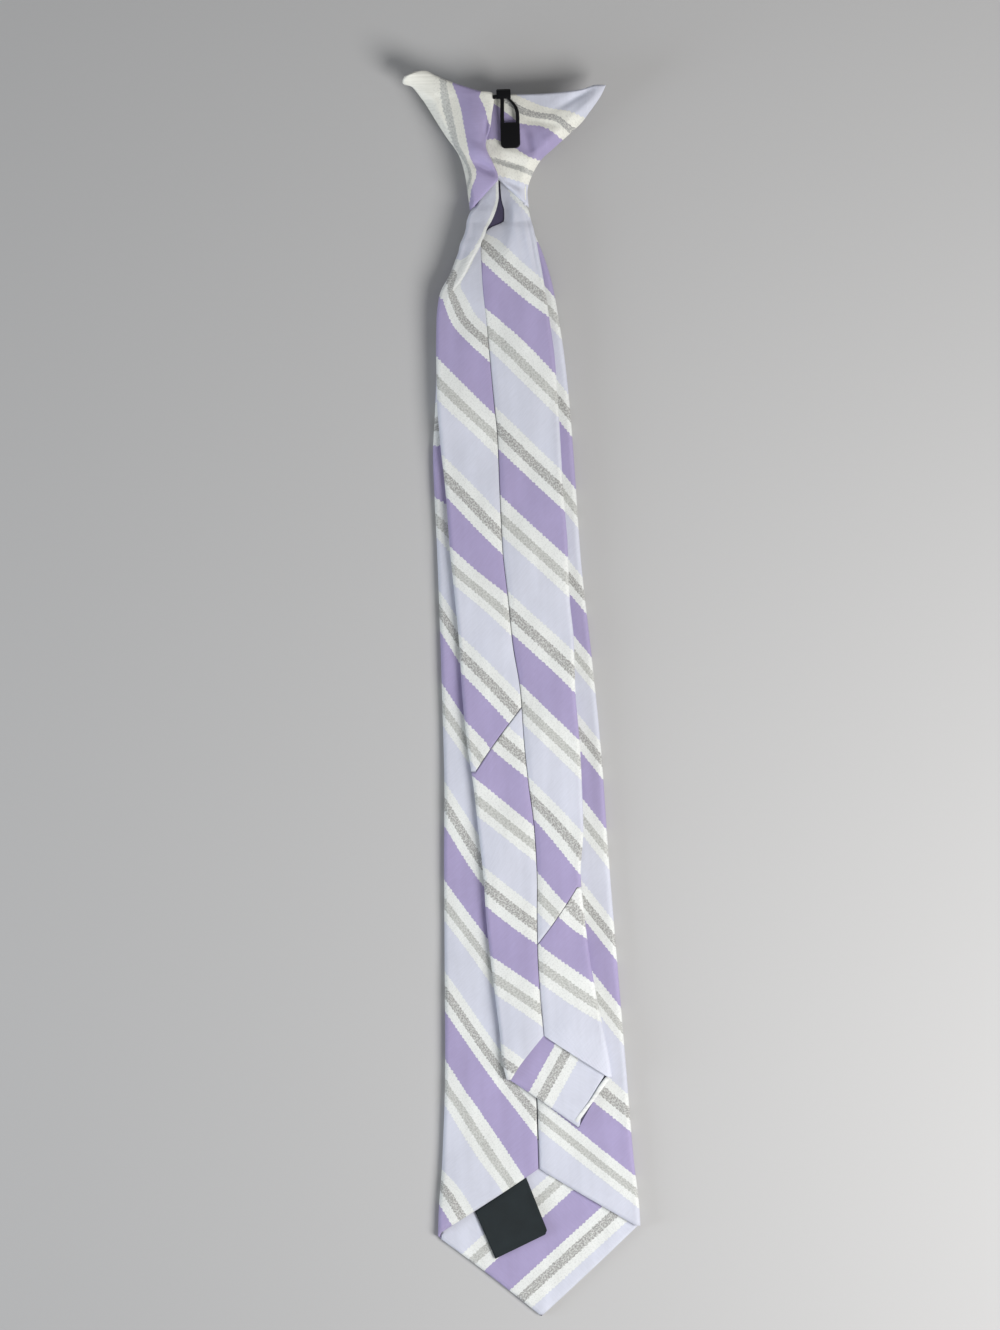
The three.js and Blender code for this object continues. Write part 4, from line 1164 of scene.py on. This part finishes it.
def select_edges(block, test):
    """Select the edges whose two ends pass a test on their places, in millimetres."""
    bpy.ops.object.mode_set(mode="EDIT")
    bpy.ops.mesh.select_mode(type="EDGE")
    bpy.ops.mesh.select_all(action="DESELECT")
    bpy.ops.object.mode_set(mode="OBJECT")
    mesh = block.data
    place = [np.array(v.co) / MM for v in mesh.vertices]
    for edge in mesh.edges:
        edge.select = bool(test(place[edge.vertices[0]], place[edge.vertices[1]]))
    bpy.ops.object.mode_set(mode="EDIT")


def select_face(block, axis, sign):
    """Select the face that lies furthest along an axis."""
    bpy.ops.object.mode_set(mode="EDIT")
    bpy.ops.mesh.select_mode(type="FACE")
    bpy.ops.mesh.select_all(action="DESELECT")
    bpy.ops.object.mode_set(mode="OBJECT")
    faces = block.data.polygons
    chosen = max(faces, key=lambda face: sign * face.center[axis] + 0.001 * sign * face.normal[axis])
    chosen.select = True
    bpy.ops.object.mode_set(mode="EDIT")


def extrude_steps(steps):
    """Extrude the selected face by each step in turn, in millimetres."""
    for step in steps:
        move = tuple(value * MM for value in step)
        bpy.ops.mesh.extrude_region_move(TRANSFORM_OT_translate={"value": move})
    bpy.ops.object.mode_set(mode="OBJECT")


def rounded(block, width, segments):
    """Round a block's edges with a bevel, and apply it."""
    deselect()
    block.select_set(True)
    bpy.context.view_layer.objects.active = block
    bevel = block.modifiers.new("round", "BEVEL")
    bevel.width = width * MM
    bevel.segments = segments
    bevel.limit_method = "ANGLE"
    bevel.angle_limit = math.radians(30)
    bpy.ops.object.modifier_apply(modifier=bevel.name)
    bpy.ops.object.shade_smooth_by_angle(angle=math.radians(40))


class TIE_OT_clip(bpy.types.Operator):
    """Model the collar clip: a pad, two legs round a window, and a hook over the knot's top edge"""

    bl_idname = "tie.build_clip"
    bl_label = "Clip"

    def execute(self, context):
        foot = 13.7
        top = foot + 1.2
        pad = add_block("clip", (-2.2, 475.4, foot), (5.7, 485.6, top))
        lowest = min(v.co[1] for v in pad.data.vertices) / MM
        select_edges(pad, lambda a, b: abs(a[2] - b[2]) > 0.5 and a[1] < lowest + 1)
        bpy.ops.mesh.bevel(offset=1.9 * MM, segments=7, affect="EDGES")
        bpy.ops.object.mode_set(mode="OBJECT")
        left = add_block("clip_left_leg", (-2.2, 485.0, foot + 0.05), (-0.6, 485.6, top - 0.05))
        select_face(left, 1, 1)
        extrude_steps([(0.05, 2.5, 0.25), (0.1, 3.0, 0.15), (0.1, 3.0, -0.15), (0, 2.4, -0.25)])
        right = add_block("clip_right_leg", (4.1, 485.0, foot + 0.05), (5.6, 485.6, top - 0.05))
        select_face(right, 1, 1)
        extrude_steps([(0.1, 2.0, 0.25), (-0.1, 2.4, 0.15), (-0.6, 2.0, 0.0), (-1.2, 1.8, -0.1),
                       (-1.5, 1.6, -0.2), (-0.9, 1.2, -0.1)])
        corner = add_block("clip_window_foot", (-0.9, 485.3, foot + 0.05), (4.4, 485.9, top - 0.05))
        hook = add_block("clip_hook", (-3.4, 495.6, foot), (2.4, 498.6, top))
        select_face(hook, 1, 1)
        extrude_steps([(0, 0.5, -0.25), (0, 0.25, -0.95)])
        plate = add_block("clip_tongue", (-3.3, 487.0, 9.05), (2.2, 499.3, 10.05))
        riser = add_block("clip_riser", (-3.3, 498.5, 9.1), (2.3, 499.3, 13.9))
        nub = add_block("clip_nub", (-4.9, 495.6, foot + 0.1), (-3.2, 497.3, top - 0.1))
        pieces = [pad, left, right, corner, hook, plate, riser, nub]
        for piece, width in zip(pieces, (0.35, 0.4, 0.4, 0.2, 0.35, 0.3, 0.3, 0.4)):
            rounded(piece, width, 3)
        deselect()
        for piece in pieces:
            piece.select_set(True)
        context.view_layer.objects.active = pad
        bpy.ops.object.join()
        pad.data.materials.clear()
        pad.data.materials.append(Palette.get("black_coating", clip_black))
        pad.name = "collar_clip"
        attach(pad, "root")
        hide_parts("clip")
        return {"FINISHED"}


class TIE_OT_stage(bpy.types.Operator):
    """Set the floor, the soft light and the camera above the tie"""

    bl_idname = "tie.build_stage"
    bl_label = "Stage"

    def execute(self, context):
        scene = context.scene
        stage = scene.tie_stage
        deselect()
        bpy.ops.mesh.primitive_plane_add(size=6, location=(0, 0, 0))
        floor = context.object
        floor.name = "floor"
        floor.data.materials.append(Palette.get("studio_paper", floor_paper))
        self.lamp("key_light", (0.52, -0.28, 0.6), 0.5, stage.key_power, (1.0, 0.985, 0.96))
        self.lamp("side_light", (-1.15, -0.3, 0.32), 0.5, stage.side_power, (0.86, 0.93, 1.0))
        world = bpy.data.worlds.new("soft_light")
        world.use_nodes = True
        sky = world.node_tree.nodes["Background"]
        sky.inputs[0].default_value = (1.0, 1.0, 1.0, 1)
        sky.inputs[1].default_value = stage.fill
        scene.world = world
        lens = bpy.data.cameras.new("camera")
        lens.sensor_width = 36
        lens.lens = 36 * (stage.camera_height - EYE_PLANE * MM) / stage.view_height
        lens.clip_start = 0.01
        lens.clip_end = 20
        camera = bpy.data.objects.new("camera", lens)
        camera.location = ((EYE_X + TIP_X) * MM, (EYE_Y + TIP_Y) * MM, stage.camera_height)
        camera.rotation_euler = (0, 0, -math.atan2(0.03, 0.99955))
        scene.collection.objects.link(camera)
        scene.camera = camera
        scene.view_settings.view_transform = "Standard"
        return {"FINISHED"}

    def lamp(self, name, place, size, power, colour):
        """A round soft light turned to the middle of the tie."""
        light = bpy.data.lights.new(name, "AREA")
        light.shape = "DISK"
        light.size = size
        light.energy = power
        light.color = colour
        lamp = bpy.data.objects.new(name, light)
        lamp.location = place
        lamp.rotation_euler = (-Vector(place)).to_track_quat("-Z", "Y").to_euler()
        bpy.context.scene.collection.objects.link(lamp)


class TIE_PT_panel(bpy.types.Panel):
    """The tie's sizes, colours and building steps"""

    bl_idname = "TIE_PT_panel"
    bl_label = "Clip-On Tie"
    bl_space_type = "VIEW_3D"
    bl_region_type = "UI"
    bl_category = "Tie"

    def draw(self, context):
        layout = self.layout
        for group in (context.scene.tie_sizes, context.scene.tie_colours, context.scene.tie_stage):
            for key in group.__annotations__:
                layout.prop(group, key)
        for operator in STEPS:
            layout.operator(operator.bl_idname)


STEPS = (TIE_OT_blade, TIE_OT_label, TIE_OT_tail, TIE_OT_knot, TIE_OT_clip, TIE_OT_stage)
CLASSES = (TieSizes, TieColours, TieStage, *STEPS, TIE_PT_panel)


def register():
    for item in CLASSES:
        bpy.utils.register_class(item)
    bpy.types.Scene.tie_sizes = PointerProperty(type=TieSizes)
    bpy.types.Scene.tie_colours = PointerProperty(type=TieColours)
    bpy.types.Scene.tie_stage = PointerProperty(type=TieStage)


def unregister():
    del bpy.types.Scene.tie_stage
    del bpy.types.Scene.tie_colours
    del bpy.types.Scene.tie_sizes
    for item in reversed(CLASSES):
        bpy.utils.unregister_class(item)


def main():
    register()
    bpy.ops.tie.build_blade()
    bpy.ops.tie.build_label()
    bpy.ops.tie.build_tail()
    bpy.ops.tie.build_knot()
    bpy.ops.tie.build_clip()
    bpy.ops.tie.build_stage()


if __name__ == "__main__":
    main()
